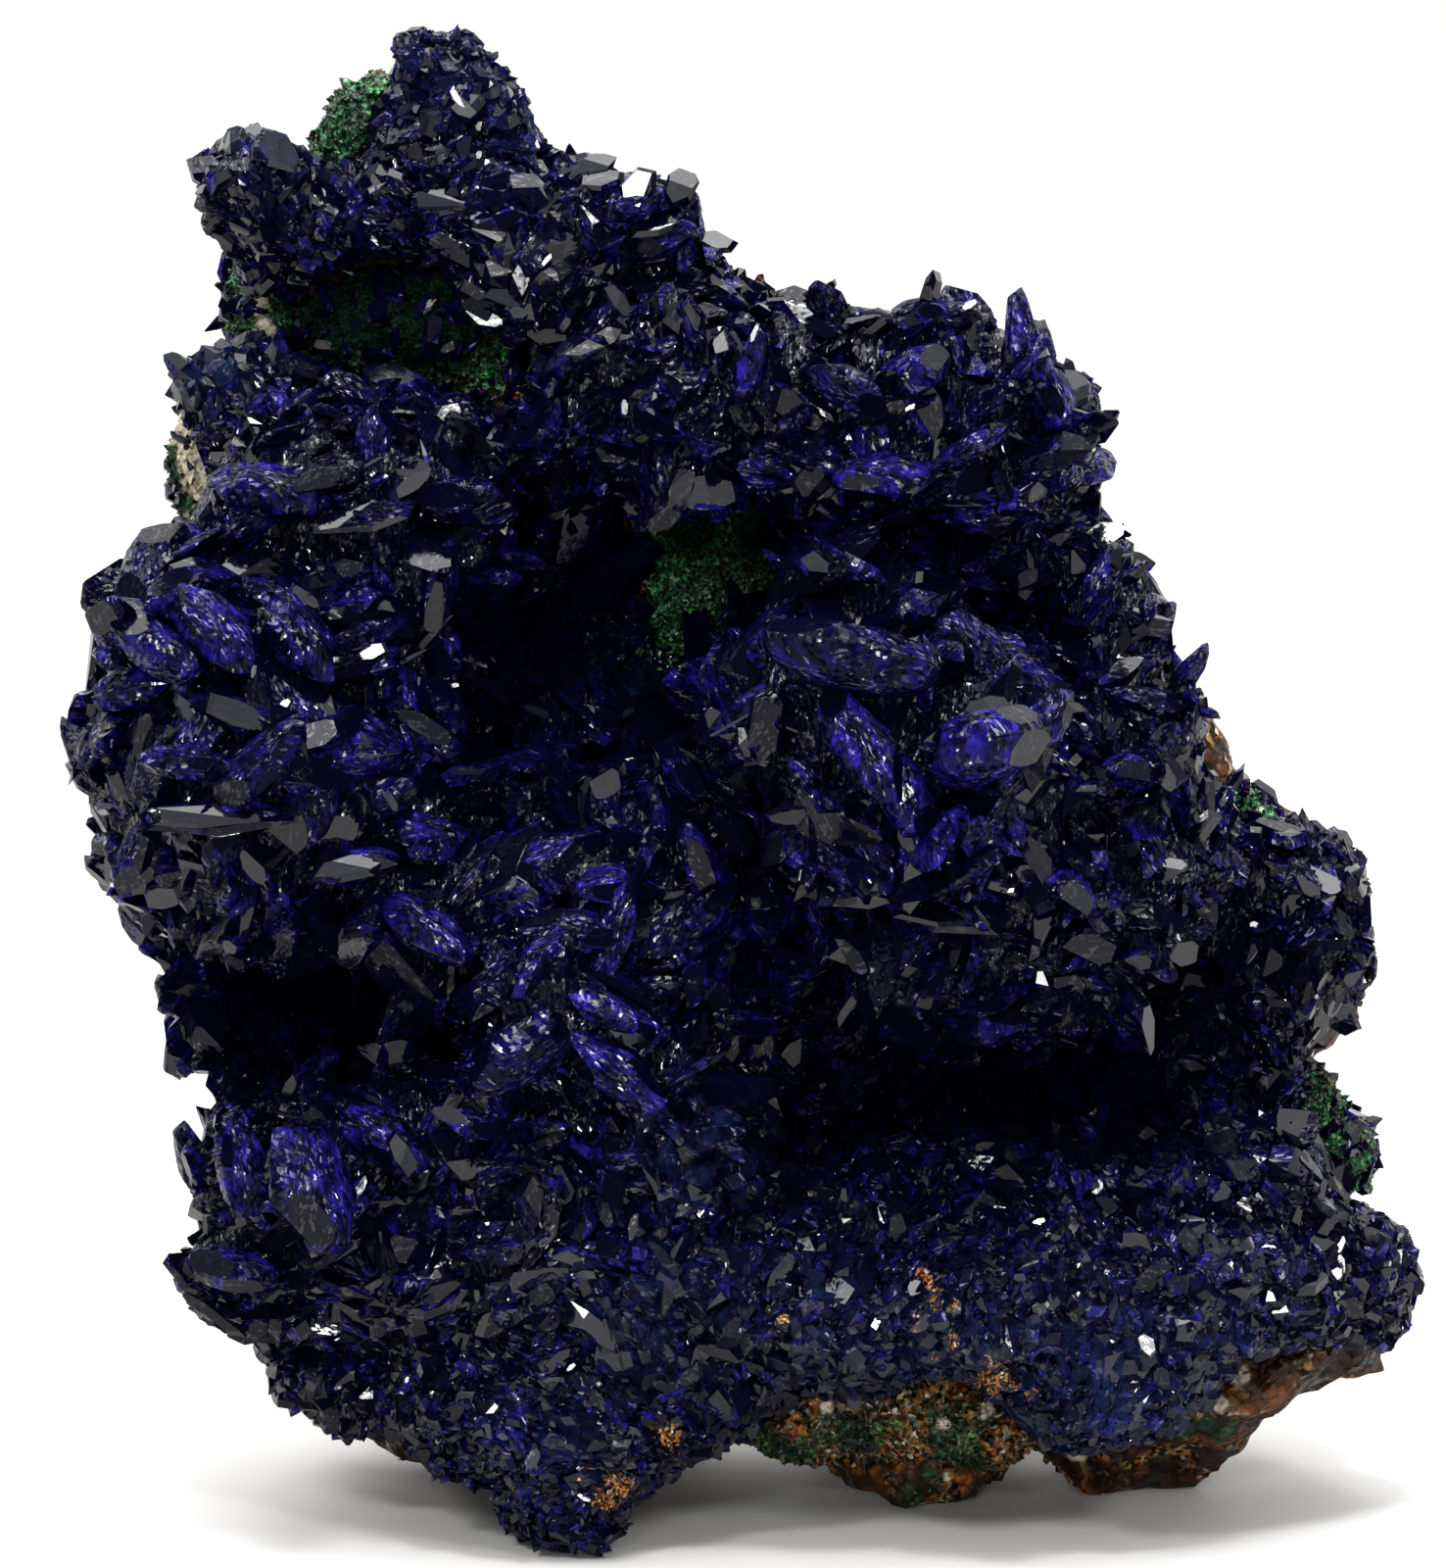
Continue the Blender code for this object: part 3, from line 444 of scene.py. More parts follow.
# Where a pale blue dust lies on the druse: across, up, reach and amount.
DUST_SPOTS = (
    (-3.3, 20.5, 2.4, 0.3), (-4, 11.5, 4, 0.2), (3.5, 12, 3.5, 0.2), (11, 9.5, 4, 0.25), (17.5, 8.5, 5, 0.35),
    (24, 11, 4, 0.2), (-10, 5, 3.5, 0.15), (-5.9, 43.2, 0.7, 0.5), (-15.5, 76.5, 2.5, 0.2),
    (-11.5, 72, 2.5, 0.15), (-24, 71.5, 2, 0.15), (-27.5, 60.5, 2.5, 0.2),
)
# Where ochre earth clings to it.
OCHRE_SPOTS = (
    (9.2, 13.4, 1.3, 0.55), (12.2, 9.4, 1.3, 0.75), (10, 11.2, 0.8, 0.5), (14.4, 8.2, 0.9, 0.5),
    (-7.2, 3.7, 1.1, 1), (-4.4, 6.1, 0.9, 0.8), (1.6, 12, 0.6, 0.5), (2, 7.5, 0.8, 0.5),
)
# Where the malachite of the middle hollow spreads over it, so no crystals stand.
GREEN_SPOTS = ((-4.1, 46.2, 1.9, 1.0), (-3.4, 48.2, 1.6, 1.0), (-0.6, 48.6, 1.6, 1.0), (0.4, 47.2, 1.2, 1.0))
# Painted shade: where it lies deep between the bosses, its blue and its reflections are dimmed to black.
# Weaker spots dim them in a few places more, among them the peak, the arm and the left lobe.
PAINTED_GLOOM_SPOTS = (
    (-11, 46.5, 4.5, 1), (-8, 49.5, 3.5, 1), (-12, 42, 4, 0.8), (-5.5, 42, 3, 0.9), (-9, 39, 2.5, 0.5),
    (14, 23.5, 4.5, 0.9), (20, 22.5, 4, 0.8), (7, 24, 3, 0.8), (2, 24, 2.5, 0.5), (-21, 27.8, 3.5, 0.9),
    (-26, 28.5, 3, 0.8), (-16.5, 27.5, 2.5, 0.6), (-17, 60.5, 3, 0.6), (13, 48.5, 3, 0.6), (-2, 38, 2, 0.6),
    (10, 28, 4, 0.4), (-15, 73, 5, 0.4), (-25, 69.5, 3, 0.25), (-25, 41, 6, 0.2), (24.5, 30.5, 2.5, 0.6),
)
AZURITE_MARKS = {"dust": DUST_SPOTS, "ochre": OCHRE_SPOTS, "painted_gloom": PAINTED_GLOOM_SPOTS}


def set_growth(mesh, places):
    """Stores a map for the streaks: places in millimetres across and along, one row for each face corner."""
    chart = mesh.uv_layers.new(name="growth")
    chart.data.foreach_set("uv", places.astype(np.float32).ravel())


def azurite_material():
    """Azurite: black-blue and glassy where a face is polished, ultramarine and flaky where it is rough."""
    material, tree, shader = new_material("azurite")
    polish = stored(tree, "polish")
    along = put(tree, "ShaderNodeUVMap", uv_map="growth").outputs[0]
    body = grain(tree, 1.0, 0.13)
    rough = ramp(tree, polish, 0.5, 0.0)
    # Painted shade: the share left undimmed by the gloom spots, which dims both the blue and the reflections.
    unshaded = less(tree, times(tree, stored(tree, "painted_gloom"), 1.25))

    stretch = put(tree, "ShaderNodeMapping", Vector=along, Scale=(2.4, 0.7, 1.0))
    streaks = put(tree, "ShaderNodeTexNoise", Vector=stretch.outputs[0], Scale=1.0, Detail=3.0, Roughness=0.7)
    streak = combine(tree, "MAXIMUM", ramp(tree, streaks.outputs["Fac"], 0.42, 0.6), 0.1)
    speckle = combine(tree, "ADD", times(tree, body.outputs["Pick"], 0.6), 0.4)
    cloud = ramp(tree, body.outputs["Patches"], 0.2, 0.85)
    film = times(tree, speckle, cloud)
    glow = times(tree, rough, stored(tree, "tint"), streak, film)
    colour = mixed(tree, times(tree, glow, unshaded), AZURITE_BLACK, AZURITE_ULTRAMARINE)
    colour = mixed(tree, times(tree, film, stored(tree, "dust")), colour, DUST_TEAL)
    crumbs = picked(tree, body.outputs["Pick"], (0.0, 0.3, 0.5, 0.75, 0.92),
                    (ROCK_DARK, ROCK_BROWN, ROCK_ORANGE, OCHRE_GOLD, ROCK_CREAM))
    clinging = ramp(tree, times(tree, stored(tree, "ochre"), cloud), 0.2, 0.4)
    feed(tree, shader.inputs["Base Color"], mixed(tree, clinging, colour, crumbs))

    drawn = put(tree, "ShaderNodeMapping", Vector=along, Scale=(8.0, 4.0, 1.0))
    bent = vector(tree, "MULTIPLY_ADD", streaks.outputs["Color"], (5.0, 5.0, 5.0), drawn.outputs[0])
    flakes = put(tree, "ShaderNodeTexVoronoi", Vector=bent, Scale=1.0)
    pick = put(tree, "ShaderNodeSeparateColor", Color=flakes.outputs["Color"])
    glint = times(tree, ramp(tree, pick.outputs["Blue"], 0.66, 0.68),
                  ramp(tree, streaks.outputs["Fac"], 0.46, 0.54))
    mirror = combine(tree, "MAXIMUM", glint, ramp(tree, polish, 0.4, 1.0))
    mirror = combine(tree, "ADD", times(tree, mirror, 0.42), 0.06)
    feed(tree, shader.inputs["Specular IOR Level"], times(tree, mirror, unshaded))
    gloss = put(tree, "ShaderNodeMapRange", To_Min=0.16, To_Max=0.03, Value=polish)
    feed(tree, shader.inputs["Roughness"], gloss.outputs["Result"])
    feed(tree, shader.inputs["IOR"], 1.7)
    tilt = vector(tree, "SUBTRACT", flakes.outputs["Color"], (0.5, 0.5, 0.5))
    amount = combine(tree, "ADD", times(tree, rough, 0.9), 0.03)
    feed(tree, shader.inputs["Normal"], flaked(tree, tilt, amount))
    return material


azurite = azurite_material()
ground = refined_copy("azurite_ground", "azurite_crystals", GROUND_CELL_MM, 8)
roughened(ground, GROUND_RELIEF_MM, GROUND_SINK_MM, GROUND_SEED)
ground_points = rows_of(ground.data.vertices, "co")
set_attribute(ground.data, "polish", GROUND_POLISH * (1 + noise(ground_points, 0.8, GROUND_SEED + 10)))
set_attribute(ground.data, "tint", GROUND_TINT * (1 + noise(ground_points, 3.0, GROUND_SEED + 11)))
set_marks(ground.data, AZURITE_MARKS, ground_points)
corners = np.empty(len(ground.data.loops), np.int32)
ground.data.loops.foreach_get("vertex_index", corners)
set_growth(ground.data, ground_points[corners][:, [0, 2]] / MM)
ground.data.materials.append(azurite)
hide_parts("azurite_crystals")
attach(ground, "root")


# The blades: thick lens-shaped azurite crystals, 2 to 9 mm long. Their two broad sides bulge and are striated
# along their length, and a narrow polished rim of flat faces runs round them. They stand at all angles, half
# sunk in the ground, and the largest sit on the bosses.
SEED = 29
chance = np.random.default_rng(SEED + 1)
# The blades that the eye picks out: across, up, heading in the picture plane in degrees from across to up,
# nod towards the eye in degrees, length, width, thickness, and roll.
KNOWN_BLADES = (
    (-5.6, 68.4, 20, 5, 3, 2.6, 1.4, 0), (-3.6, 68, 100, 10, 2.8, 2.4, 1.4, 15),
    (-4.4, 66.6, 25, 20, 3.6, 2.2, 1.6, 40), (15, 58.6, -60, 10, 4.2, 3, 2, 10),
    (8.2, 59.6, 30, 15, 3.8, 2.8, 2, 30), (6.4, 54.4, 2, 12, 5, 2.4, 2, 50),
    (-2.4, 53.6, -5, 15, 3.4, 2, 1.6, 60), (0, 59.8, 70, 25, 4.2, 1.8, 1.4, 20),
    (-24.2, 53.8, -15, 15, 6.2, 3, 2.4, 30), (-15.6, 49.1, 80, 15, 4.6, 2.1, 1.6, 20),
    (-19, 56.4, 85, 20, 4, 1.8, 1.5, 10), (-29.6, 46, -35, 15, 6, 3.2, 2.6, 20),
    (-26.8, 46.8, -45, 20, 6.2, 3, 2.4, 40), (-30.8, 43.8, 10, 10, 4.8, 2.7, 2.2, 0),
    (-25.5, 42.4, -20, 25, 4.6, 2.6, 1.3, 15), (-24.4, 40, 40, 15, 5.8, 2.8, 2.2, 60),
    (-28, 40, -10, 15, 5.2, 2, 1.6, 30), (-27, 37.4, 3, 5, 6.8, 1.9, 1.5, 10),
    (-20, 34.9, 8, 15, 4.4, 2, 1.5, 30), (-22.6, 46.4, -60, 20, 5.6, 3.4, 2.4, 10),
    (-16.4, 31.8, -35, 15, 5.8, 2.6, 2, 30), (-11.4, 25.6, 215, 20, 6.2, 3.5, 2.8, 50),
    (-7, 24.8, -38, 15, 6.6, 2.5, 1.9, 75), (-7.6, 28, -30, 20, 4.6, 2.1, 1.6, 10),
    (5, 45.2, 168, 10, 9, 4.2, 3.2, 20), (11.6, 40.8, 20, 15, 6.6, 5, 3.6, 0),
    (5.5, 41, -65, 20, 6.6, 3, 2.4, 30), (7.6, 38.4, -75, 25, 4.6, 2.8, 2.2, 0),
    (-21.9, 18.8, -75, 15, 6.8, 4.4, 3.4, 10), (-25.6, 20, -75, 10, 5.6, 2.8, 2.4, 30),
    (-18.4, 21.2, -40, 25, 5.6, 2.7, 2.2, 50), (-26, 14.6, -10, 15, 4.6, 2.6, 2, 20),
)
# The thin tablets it picks out, given in the same way.
KNOWN_TABLETS = (
    (-26.6, 37.3, 3, 5, 7.4, 1.8, 0.9, 60), (-20, 34.9, 8, 15, 4.4, 2, 1, 40),
    (-30.2, 37, 80, 10, 4.6, 1.8, 0.8, 50), (-24, 35.2, 40, 10, 4.4, 1.4, 0.6, 40),
    (-25.5, 42.4, -20, 25, 4.6, 2.6, 1, 15), (-16.5, 46.4, 45, 10, 4.2, 1.2, 0.6, 50),
    (-12.6, 44, -35, 10, 3.6, 1.4, 0.6, 60), (-13.4, 56, 10, 10, 3.4, 1.2, 0.8, 60),
    (14.6, 32, 75, 15, 4.4, 1.7, 0.8, 20), (9.2, 32.6, -4, 10, 4.4, 1.8, 0.8, 60),
    (1.6, 34, 5, 10, 2.6, 1.8, 0.7, 40), (6.8, 30.6, -85, 30, 3.2, 2.2, 0.9, 0),
    (2.6, 51.6, 12, 10, 2.8, 1.6, 0.7, 50), (-2.4, 53.6, -5, 15, 3.4, 2, 0.9, 60),
    (-15, 29.6, 85, 10, 4.2, 1.3, 0.6, 40), (-28.5, 48.6, 20, 10, 3.6, 1.6, 0.7, 50),
)
# How long the blades grow in each part of the piece: across, up, length in millimetres.
HABIT = (
    (-16, 74, 1.4), (-25, 69, 1.7), (-12, 69, 2), (-5.5, 68, 3.2), (-3, 63.5, 2.6), (2, 61.5, 2.4),
    (-3, 58, 3.8), (6, 58, 4.4), (14, 57, 4.2), (-25, 58, 2.2), (-20, 54, 4.6), (-17, 50, 4.6),
    (-28, 46, 5.6), (-25, 39, 6.4), (-29, 35, 3.6), (-20, 42, 5), (-17, 33, 5.2), (-10, 45, 3.6), (-6, 37, 4),
    (-9, 27, 5.8), (-3, 30, 4.4), (5, 43, 7.2), (11, 41, 6.6), (8, 36, 5.2), (12, 31, 5), (16, 48, 3.2),
    (19, 42, 3.2), (19, 35, 3.8), (28, 33, 2.8), (25, 28, 3), (-22, 19, 4.6), (-26, 14, 2.8), (-17, 21, 4),
    (-20, 9, 1.6), (-10, 19, 3.6), (-5, 14, 2.2), (-9, 6, 1.4), (5, 16, 1.8), (12, 13, 1.5), (18, 18, 2.1),
    (25, 17, 2), (31, 14, 1.7), (16, 23, 2.8),
)
HABIT_REACH_MM = 4.0
RAY_START_MM = 80.0
GREAT_MM = 4.0
TABLET_SHARE = 0.27
SHORT_TABLET_SHARE = 0.35
SHORT_WIDTH_SHARE = 0.3
SHORT_BELOW_MM = 3.3
BLADE_SPACING = 0.6
BLADE_CLEAR = 0.45
SITE_LIFT_MM = 0.6
SITE_CLEAR_MM = 1.0
HEADING_GRAIN_MM = 7.0
ROLL_GRAIN_MM = 5.0


def unit(rows):
    """Each row divided by its length."""
    return rows / np.linalg.norm(rows, axis=-1, keepdims=True)


def habit_length(points):
    """The length that blades grow to at each point: the mean of the table's rows, near ones counting most."""
    flat = on_picture(points)
    table = np.array(HABIT, float)
    off = (flat[:, None, 0] - table[:, 0]) ** 2 + (flat[:, None, 2] - table[:, 1]) ** 2
    weight = np.exp(-(off - off.min(axis=1, keepdims=True)) / (2 * HABIT_REACH_MM**2))
    return (weight * table[:, 2]).sum(axis=1) / weight.sum(axis=1)


def surface_of(obj):
    """A mesh object's surface, to find what lies near a point or on a ray."""
    return BVHTree.FromPolygons([v.co for v in obj.data.vertices], [p.vertices for p in obj.data.polygons])


def face_sites(obj):
    """Middles and normals of an object's faces."""
    return np.stack([rows_of(obj.data.polygons, key) for key in ("center", "normal")])


def open_sites():
    """Middles and normals of the ground's faces that are free of rock and malachite, in random order."""
    middles, normals = face_sites(ground)
    covers = [surface_of(obj) for name, obj in frame["nodes"].items() if name != "azurite_crystals"]
    free = [all(cover.find_nearest(Vector(at), SITE_CLEAR_MM * MM)[0] is None for cover in covers)
            for at in middles + normals * SITE_LIFT_MM * MM]
    bare = (soft_spots(middles, GREEN_SPOTS) < GREEN_EDGE) | (normals[:, 1] > 0)
    keep = np.random.default_rng(SEED).permutation(np.flatnonzero(np.array(free) & bare))
    return middles[keep], normals[keep]


def spaced(points, cells):
    """Indices of the first point in each cell of a grid. Cell sizes differ from point to point, in steps."""
    level = np.round(np.log2(cells / MM) * 2).astype(int)
    size = 2.0 ** (level / 2) * MM
    key = np.column_stack([level, np.floor(points / size[:, None]).astype(int)])
    return np.sort(np.unique(key, axis=0, return_index=True)[1])


def crystal_frames(middles, normals, rise):
    """For each site a length, width and thickness direction.

    Neighbours head roughly the same way, as blades do in a rosette: the heading comes from a smooth random
    field plus a random share. The length rises from the skin by a random angle within the limits, in degrees.
    """
    field = np.stack([noise(middles, HEADING_GRAIN_MM, seed) for seed in (70, 71, 72)], axis=1) * 2.0
    flat = unit(np.cross(normals, field + chance.normal(size=normals.shape) * 0.55))
    angle = np.radians(chance.uniform(*rise, (len(normals), 1)))
    length = flat * np.cos(angle) + normals * np.sin(angle)
    side = unit(np.cross(length, normals))
    roll = (noise(middles, ROLL_GRAIN_MM, 73) * 2.0)[:, None] + chance.normal(size=(len(normals), 1)) * 0.7
    up = np.cross(side, length)
    width = side * np.cos(roll) + up * np.sin(roll)
    return np.stack([width, np.cross(length, width), length], axis=1)


def crystal_variant(sides, levels, dome, cuts, depth, lean=0.8):
    """One crystal, one unit long, wide and thick about the origin, as a closed mesh's arrays.

    The outline, in the plane of width and length, is a long polygon with chisel ends. Each level repeats it
    smaller and higher on both broad sides: the first is the rim, the last the top. The dome is how much lower
    the rim lies than the top: 0 is a slab and 1 a lens with a knife edge. Each cut bevels one of the four
    corners of the outline with a pair of planes that meet at the rim, at a distance from the middle within
    the depths: lean is how far they turn towards the broad sides. A face's kind is 0 for a broad side, 1 for
    the rim or its bevel and 2 for a cut.
    """
    turn = 2 * math.pi * (np.arange(sides) + 0.5) / sides
    outline = np.stack([np.sin(turn), np.cos(turn)], axis=1)
    outline = np.sign(outline) * np.abs(outline) ** 0.8
    outline *= 0.5 / np.abs(outline).max(axis=0)
    outline += chance.normal(0.0, 0.3 / sides, (sides, 2))
    outline[:, 0] *= 1 + chance.uniform(-0.4, 0.3) * outline[:, 1]
    outline[:, 1] += chance.uniform(-0.3, 0.3) * outline[:, 0]
    arch = chance.uniform(-0.5, 0.5) * dome
    rings = []
    for face in (1, -1):
        for scale, height in levels:
            deep = face * 0.5 * (1 - dome * (1 - height)) * np.ones(sides)
            deep += arch * (outline[:, 1] ** 2 * scale**2 - 0.1)
            rings.append(np.stack([outline[:, 0] * scale, deep, outline[:, 1] * scale], axis=1))
    faces, kinds = [], []
    back = len(levels) * sides
    for here in range(sides):
        after = (here + 1) % sides
        faces.append((back + here, back + after, after, here))
        kinds.append(1)
        for low in range(0, back - sides, sides):
            high = low + sides
            faces.append((high + after, high + here, low + here, low + after))
            faces.append((back + high + here, back + high + after, back + low + after, back + low + here))
            kinds += [int(low == 0 and len(levels) == 2)] * 2
    top = back - sides
    faces += [tuple(range(top, back)), tuple(reversed(range(back + top, 2 * back)))]
    mesh = bpy.data.meshes.new("variant")
    mesh.from_pydata(np.concatenate(rings).tolist(), [], faces)
    mesh.attributes.new("kind", "INT", "FACE").data.foreach_set("value", kinds + [0, 0])

    shape = bmesh.new()
    shape.from_mesh(mesh)
    kind = shape.faces.layers.int["kind"]
    bmesh.ops.remove_doubles(shape, verts=shape.verts, dist=1e-3)
    for cut in range(cuts):
        corner = math.radians(90 * cut + chance.uniform(15, 75))
        for turned in (lean, -lean):
            facing = np.array((math.cos(corner), turned + chance.uniform(-0.15, 0.15), math.sin(corner)))
            facing = unit(facing)
            parts = shape.verts[:] + shape.edges[:] + shape.faces[:]
            edge = bmesh.ops.bisect_plane(
                shape, geom=parts, dist=1e-4, plane_co=facing * chance.uniform(*depth), plane_no=facing,
                clear_outer=True)["geom_cut"]
            rim = [part for part in edge if isinstance(part, bmesh.types.BMEdge)]
            if len(rim) > 2:
                for face in bmesh.ops.edgeloop_fill(shape, edges=rim)["faces"]:
                    face[kind] = 2
    bmesh.ops.dissolve_degenerate(shape, dist=1e-3, edges=shape.edges)
    bmesh.ops.recalc_face_normals(shape, faces=shape.faces)
    shape.to_mesh(mesh)
    shape.free()
    corners, totals = np.empty(len(mesh.loops), np.int32), np.empty(len(mesh.polygons), np.int32)
    kinds = np.empty(len(mesh.polygons), np.int32)
    mesh.loops.foreach_get("vertex_index", corners)
    mesh.polygons.foreach_get("loop_total", totals)
    mesh.attributes["kind"].data.foreach_get("value", kinds)
    points = rows_of(mesh.vertices, "co")
    bpy.data.meshes.remove(mesh)
    free = np.ones(len(points), bool)
    free[corners[np.repeat(kinds == 2, totals)]] = False
    return {"points": points, "corners": corners, "totals": totals, "kinds": kinds, "free": free,
            "domed": len(levels) > 2}


def make_variants(count, sides, levels, dome, cuts, depth, lean=0.8):
    """So many different crystals of one make. A dome given as two limits is drawn anew for each."""
    return [crystal_variant(sides, levels, chance.uniform(*dome) if isinstance(dome, tuple) else dome,
                            cuts, depth, lean) for _ in range(count)]


def grow(name, middles, frames, sizes, variants, polish, tint=(1.2, 1.8), wander_mm=0.0,
         material=azurite, slot="azurite", marks=AZURITE_MARKS, shine=(0.5, 1.0)):
    """One mesh of crystals: each takes one of the variants, stretched to its size and turned to its frame.

    Polish is the share of faces that are polished among the broad sides, the rims and the cuts, and shine the
    limits of how well, with most near the lower one. Each crystal's tint is drawn from a beta distribution.
    The rough surfaces wander by that many millimetres, and the flat cuts stay flat. Marks are the tables of
    spots that its material reads.
    """
    which = np.arange(len(middles)) % len(variants)
    rows = {key: [] for key in ("points", "owners", "growth", "loops", "totals", "kinds", "smooth")}
    first = 0
    for number, variant in enumerate(variants):
        mine = np.flatnonzero(which == number)
        count, per = len(mine), len(variant["points"])
        grown = variant["points"] * sizes[mine][:, None, :]
        points = np.einsum("nvk,nkc->nvc", grown, frames[mine]) + middles[mine][:, None, :]
        if wander_mm:
            flat = points.reshape(-1, 3)
            drift = [noise(flat, 0.6, seed) + 0.6 * noise(flat, 0.3, seed + 3) for seed in (60, 61, 62)]
            drift = np.stack(drift, axis=1).reshape(points.shape)
            points = points + drift * variant["free"][:, None] * wander_mm * MM
        places = grown[..., [0, 2]] / MM + chance.uniform(0, 50, (count, 1, 2))
        rows["points"].append(points.reshape(-1, 3))
        rows["owners"].append(np.repeat(mine, per))
        rows["growth"].append(places[:, variant["corners"]].reshape(-1, 2))
        rows["loops"].append((variant["corners"] + per * np.arange(count)[:, None]).ravel() + first)
        rows["totals"].append(np.tile(variant["totals"], count))
        rows["kinds"].append(np.tile(variant["kinds"], count))
        rows["smooth"].append(np.tile((variant["kinds"] == 0) & variant["domed"], count))
        first += count * per
    joined = {key: np.concatenate(value) for key, value in rows.items()}
    points, loops, totals, kinds = (joined[key] for key in ("points", "loops", "totals", "kinds"))
    points[:, 2] = np.maximum(points[:, 2], 0.0)
    mesh = bpy.data.meshes.new(name)
    mesh.vertices.add(len(points))
    mesh.vertices.foreach_set("co", points.astype(np.float32).ravel())
    mesh.loops.add(len(loops))
    mesh.loops.foreach_set("vertex_index", loops.astype(np.int32))
    mesh.polygons.add(len(totals))
    mesh.polygons.foreach_set("loop_start", (np.cumsum(totals) - totals).astype(np.int32))
    mesh.polygons.foreach_set("loop_total", totals.astype(np.int32))
    mesh.polygons.foreach_set("use_smooth", joined["smooth"])
    mesh.update(calc_edges=True)

    bright = chance.random(len(totals)) < np.array(polish)[kinds]
    gloss = shine[0] + (shine[1] - shine[0]) * chance.random(len(totals)) ** 2
    set_attribute(mesh, "polish", np.where(bright, gloss, 0.0), "FACE")
    set_attribute(mesh, "tint", chance.beta(*tint, len(middles))[joined["owners"]])
    set_marks(mesh, marks, middles[joined["owners"]])
    set_growth(mesh, joined["growth"])
    mesh.materials.append(material)
    obj = linked(name, mesh)
    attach(obj, "root")


def known_sites(table):
    """Where known crystals stand: on the ground, straight behind their place on the picture plane."""
    surface = surface_of(ground)
    middles, frames, sizes = [], [], []
    for across, up, heading, nod, length, width, thickness, roll in table:
        start = plane @ Vector((across, -RAY_START_MM, up))
        hit = surface.ray_cast(start, sight)[0] or plane @ Vector((across, 0.0, up))
        heading, nod = math.radians(heading), math.radians(nod)
        level = math.cos(nod)
        aim = Vector((math.cos(heading) * level, -math.sin(nod), math.sin(heading) * level))
        turn = aim.to_track_quat("Z", "Y").to_matrix() @ Matrix.Rotation(math.radians(roll), 3, "Z")
        frames.append(np.array((plane.to_3x3().normalized() @ turn).transposed()))
        middles.append(hit)
        sizes.append((width, thickness, length))
    return np.array(middles), np.array(frames), np.array(sizes) * MM


def scattered(spacing_mm, keep=None):
    """Sites spaced that far apart in mm, one value for each site, picked in a fresh random order."""
    order = chance.permutation(len(site_middles))
    if keep is not None:
        order = order[keep[order]]
    return order[spaced(site_middles[order], spacing_mm[order] * MM)]


def clear_of_known(picks, share):
    """Those sites that lie further from each known blade's middle than that share of its length."""
    reach = np.linalg.norm(site_middles[picks, None] - known_middles, axis=2)
    return picks[(reach > share * known_sizes[:, 2]).all(axis=1)]


def shortness(habit):
    """How short blades stay: 0 above a length, rising to 1 at a millimetre below it."""
    return np.clip(SHORT_BELOW_MM - habit, 0.0, 1.0)


known_middles, known_frames, known_sizes = known_sites(KNOWN_BLADES)
tablet_middles, tablet_frames, tablet_sizes = known_sites(KNOWN_TABLETS)
site_middles, site_normals = open_sites()
site_habit = habit_length(site_middles)
LENS_LEVELS = ((1.0, 0.0), (0.93, 0.45), (0.76, 0.77), (0.42, 0.96))
BLADE_LEVELS = ((1.0, 0.0), (0.88, 0.6), (0.55, 1.0))
TABLET_LEVELS = ((1.0, 0.0), (0.78, 1.0))
boss_variants = make_variants(len(KNOWN_BLADES), 12, LENS_LEVELS, (0.9, 1.0), 4, (0.43, 0.49), lean=0.5)
great_variants = make_variants(27, 12, LENS_LEVELS, (0.9, 1.0), 4, (0.38, 0.47), lean=0.6)
blade_variants = make_variants(36, 8, BLADE_LEVELS, (0.85, 1.0), 4, (0.31, 0.42), lean=0.7)
tablet_variants = make_variants(24, 6, TABLET_LEVELS, 1.0, 1, (0.3, 0.42))
picks = clear_of_known(scattered(site_habit * BLADE_SPACING), BLADE_CLEAR)
middles, normals, habit = site_middles[picks], site_normals[picks], site_habit[picks]
lengths = habit * chance.uniform(0.75, 1.3, len(picks)) * MM
short = shortness(habit)
stout = SHORT_WIDTH_SHARE * short
widths = lengths * (chance.uniform(0.34, 0.62, len(picks)) + stout)
frames = crystal_frames(middles, normals, (-5, 30))
tabular = chance.random(len(picks)) < TABLET_SHARE + SHORT_TABLET_SHARE * short
thin, plump = chance.uniform(0.2, 0.4, len(picks)) + stout, chance.uniform(0.45, 0.75, len(picks))
thick = np.where(tabular, thin, plump)
sizes = np.stack([widths, widths * thick, lengths], axis=1)
great = (lengths > GREAT_MM * MM) & ~tabular
plain = ~great & ~tabular
grow("azurite_boss_blades", known_middles, known_frames, known_sizes, boss_variants, (0.0, 0.3, 0.4),
     tint=(5.0, 1.2), wander_mm=0.12)
grow("azurite_great_blades", middles[great], frames[great], sizes[great], great_variants, (0.0, 0.3, 0.5),
     tint=(1.2, 1.5), wander_mm=0.12)
grow("azurite_blades", middles[plain], frames[plain], sizes[plain], blade_variants, (0.05, 0.4, 0.55),
     tint=(0.9, 1.7))
grow("azurite_bright_tablets", tablet_middles, tablet_frames, tablet_sizes, tablet_variants, (0.95, 0.9, 1.0))
grow("azurite_tablets", middles[tabular], frames[tabular], sizes[tabular], tablet_variants, (0.55, 0.65, 0.9),
     tint=(0.9, 1.6))


# The small blades: thinner azurite tablets that fill in between the large ones. They are about half as long,
# and many of them have one polished broad side.
SMALL_SPACING = 0.59
SMALL_CLEAR = 0.3
SMALL_LEAST_MM = 0.4
SMALL_LIFT_MM = 0.05


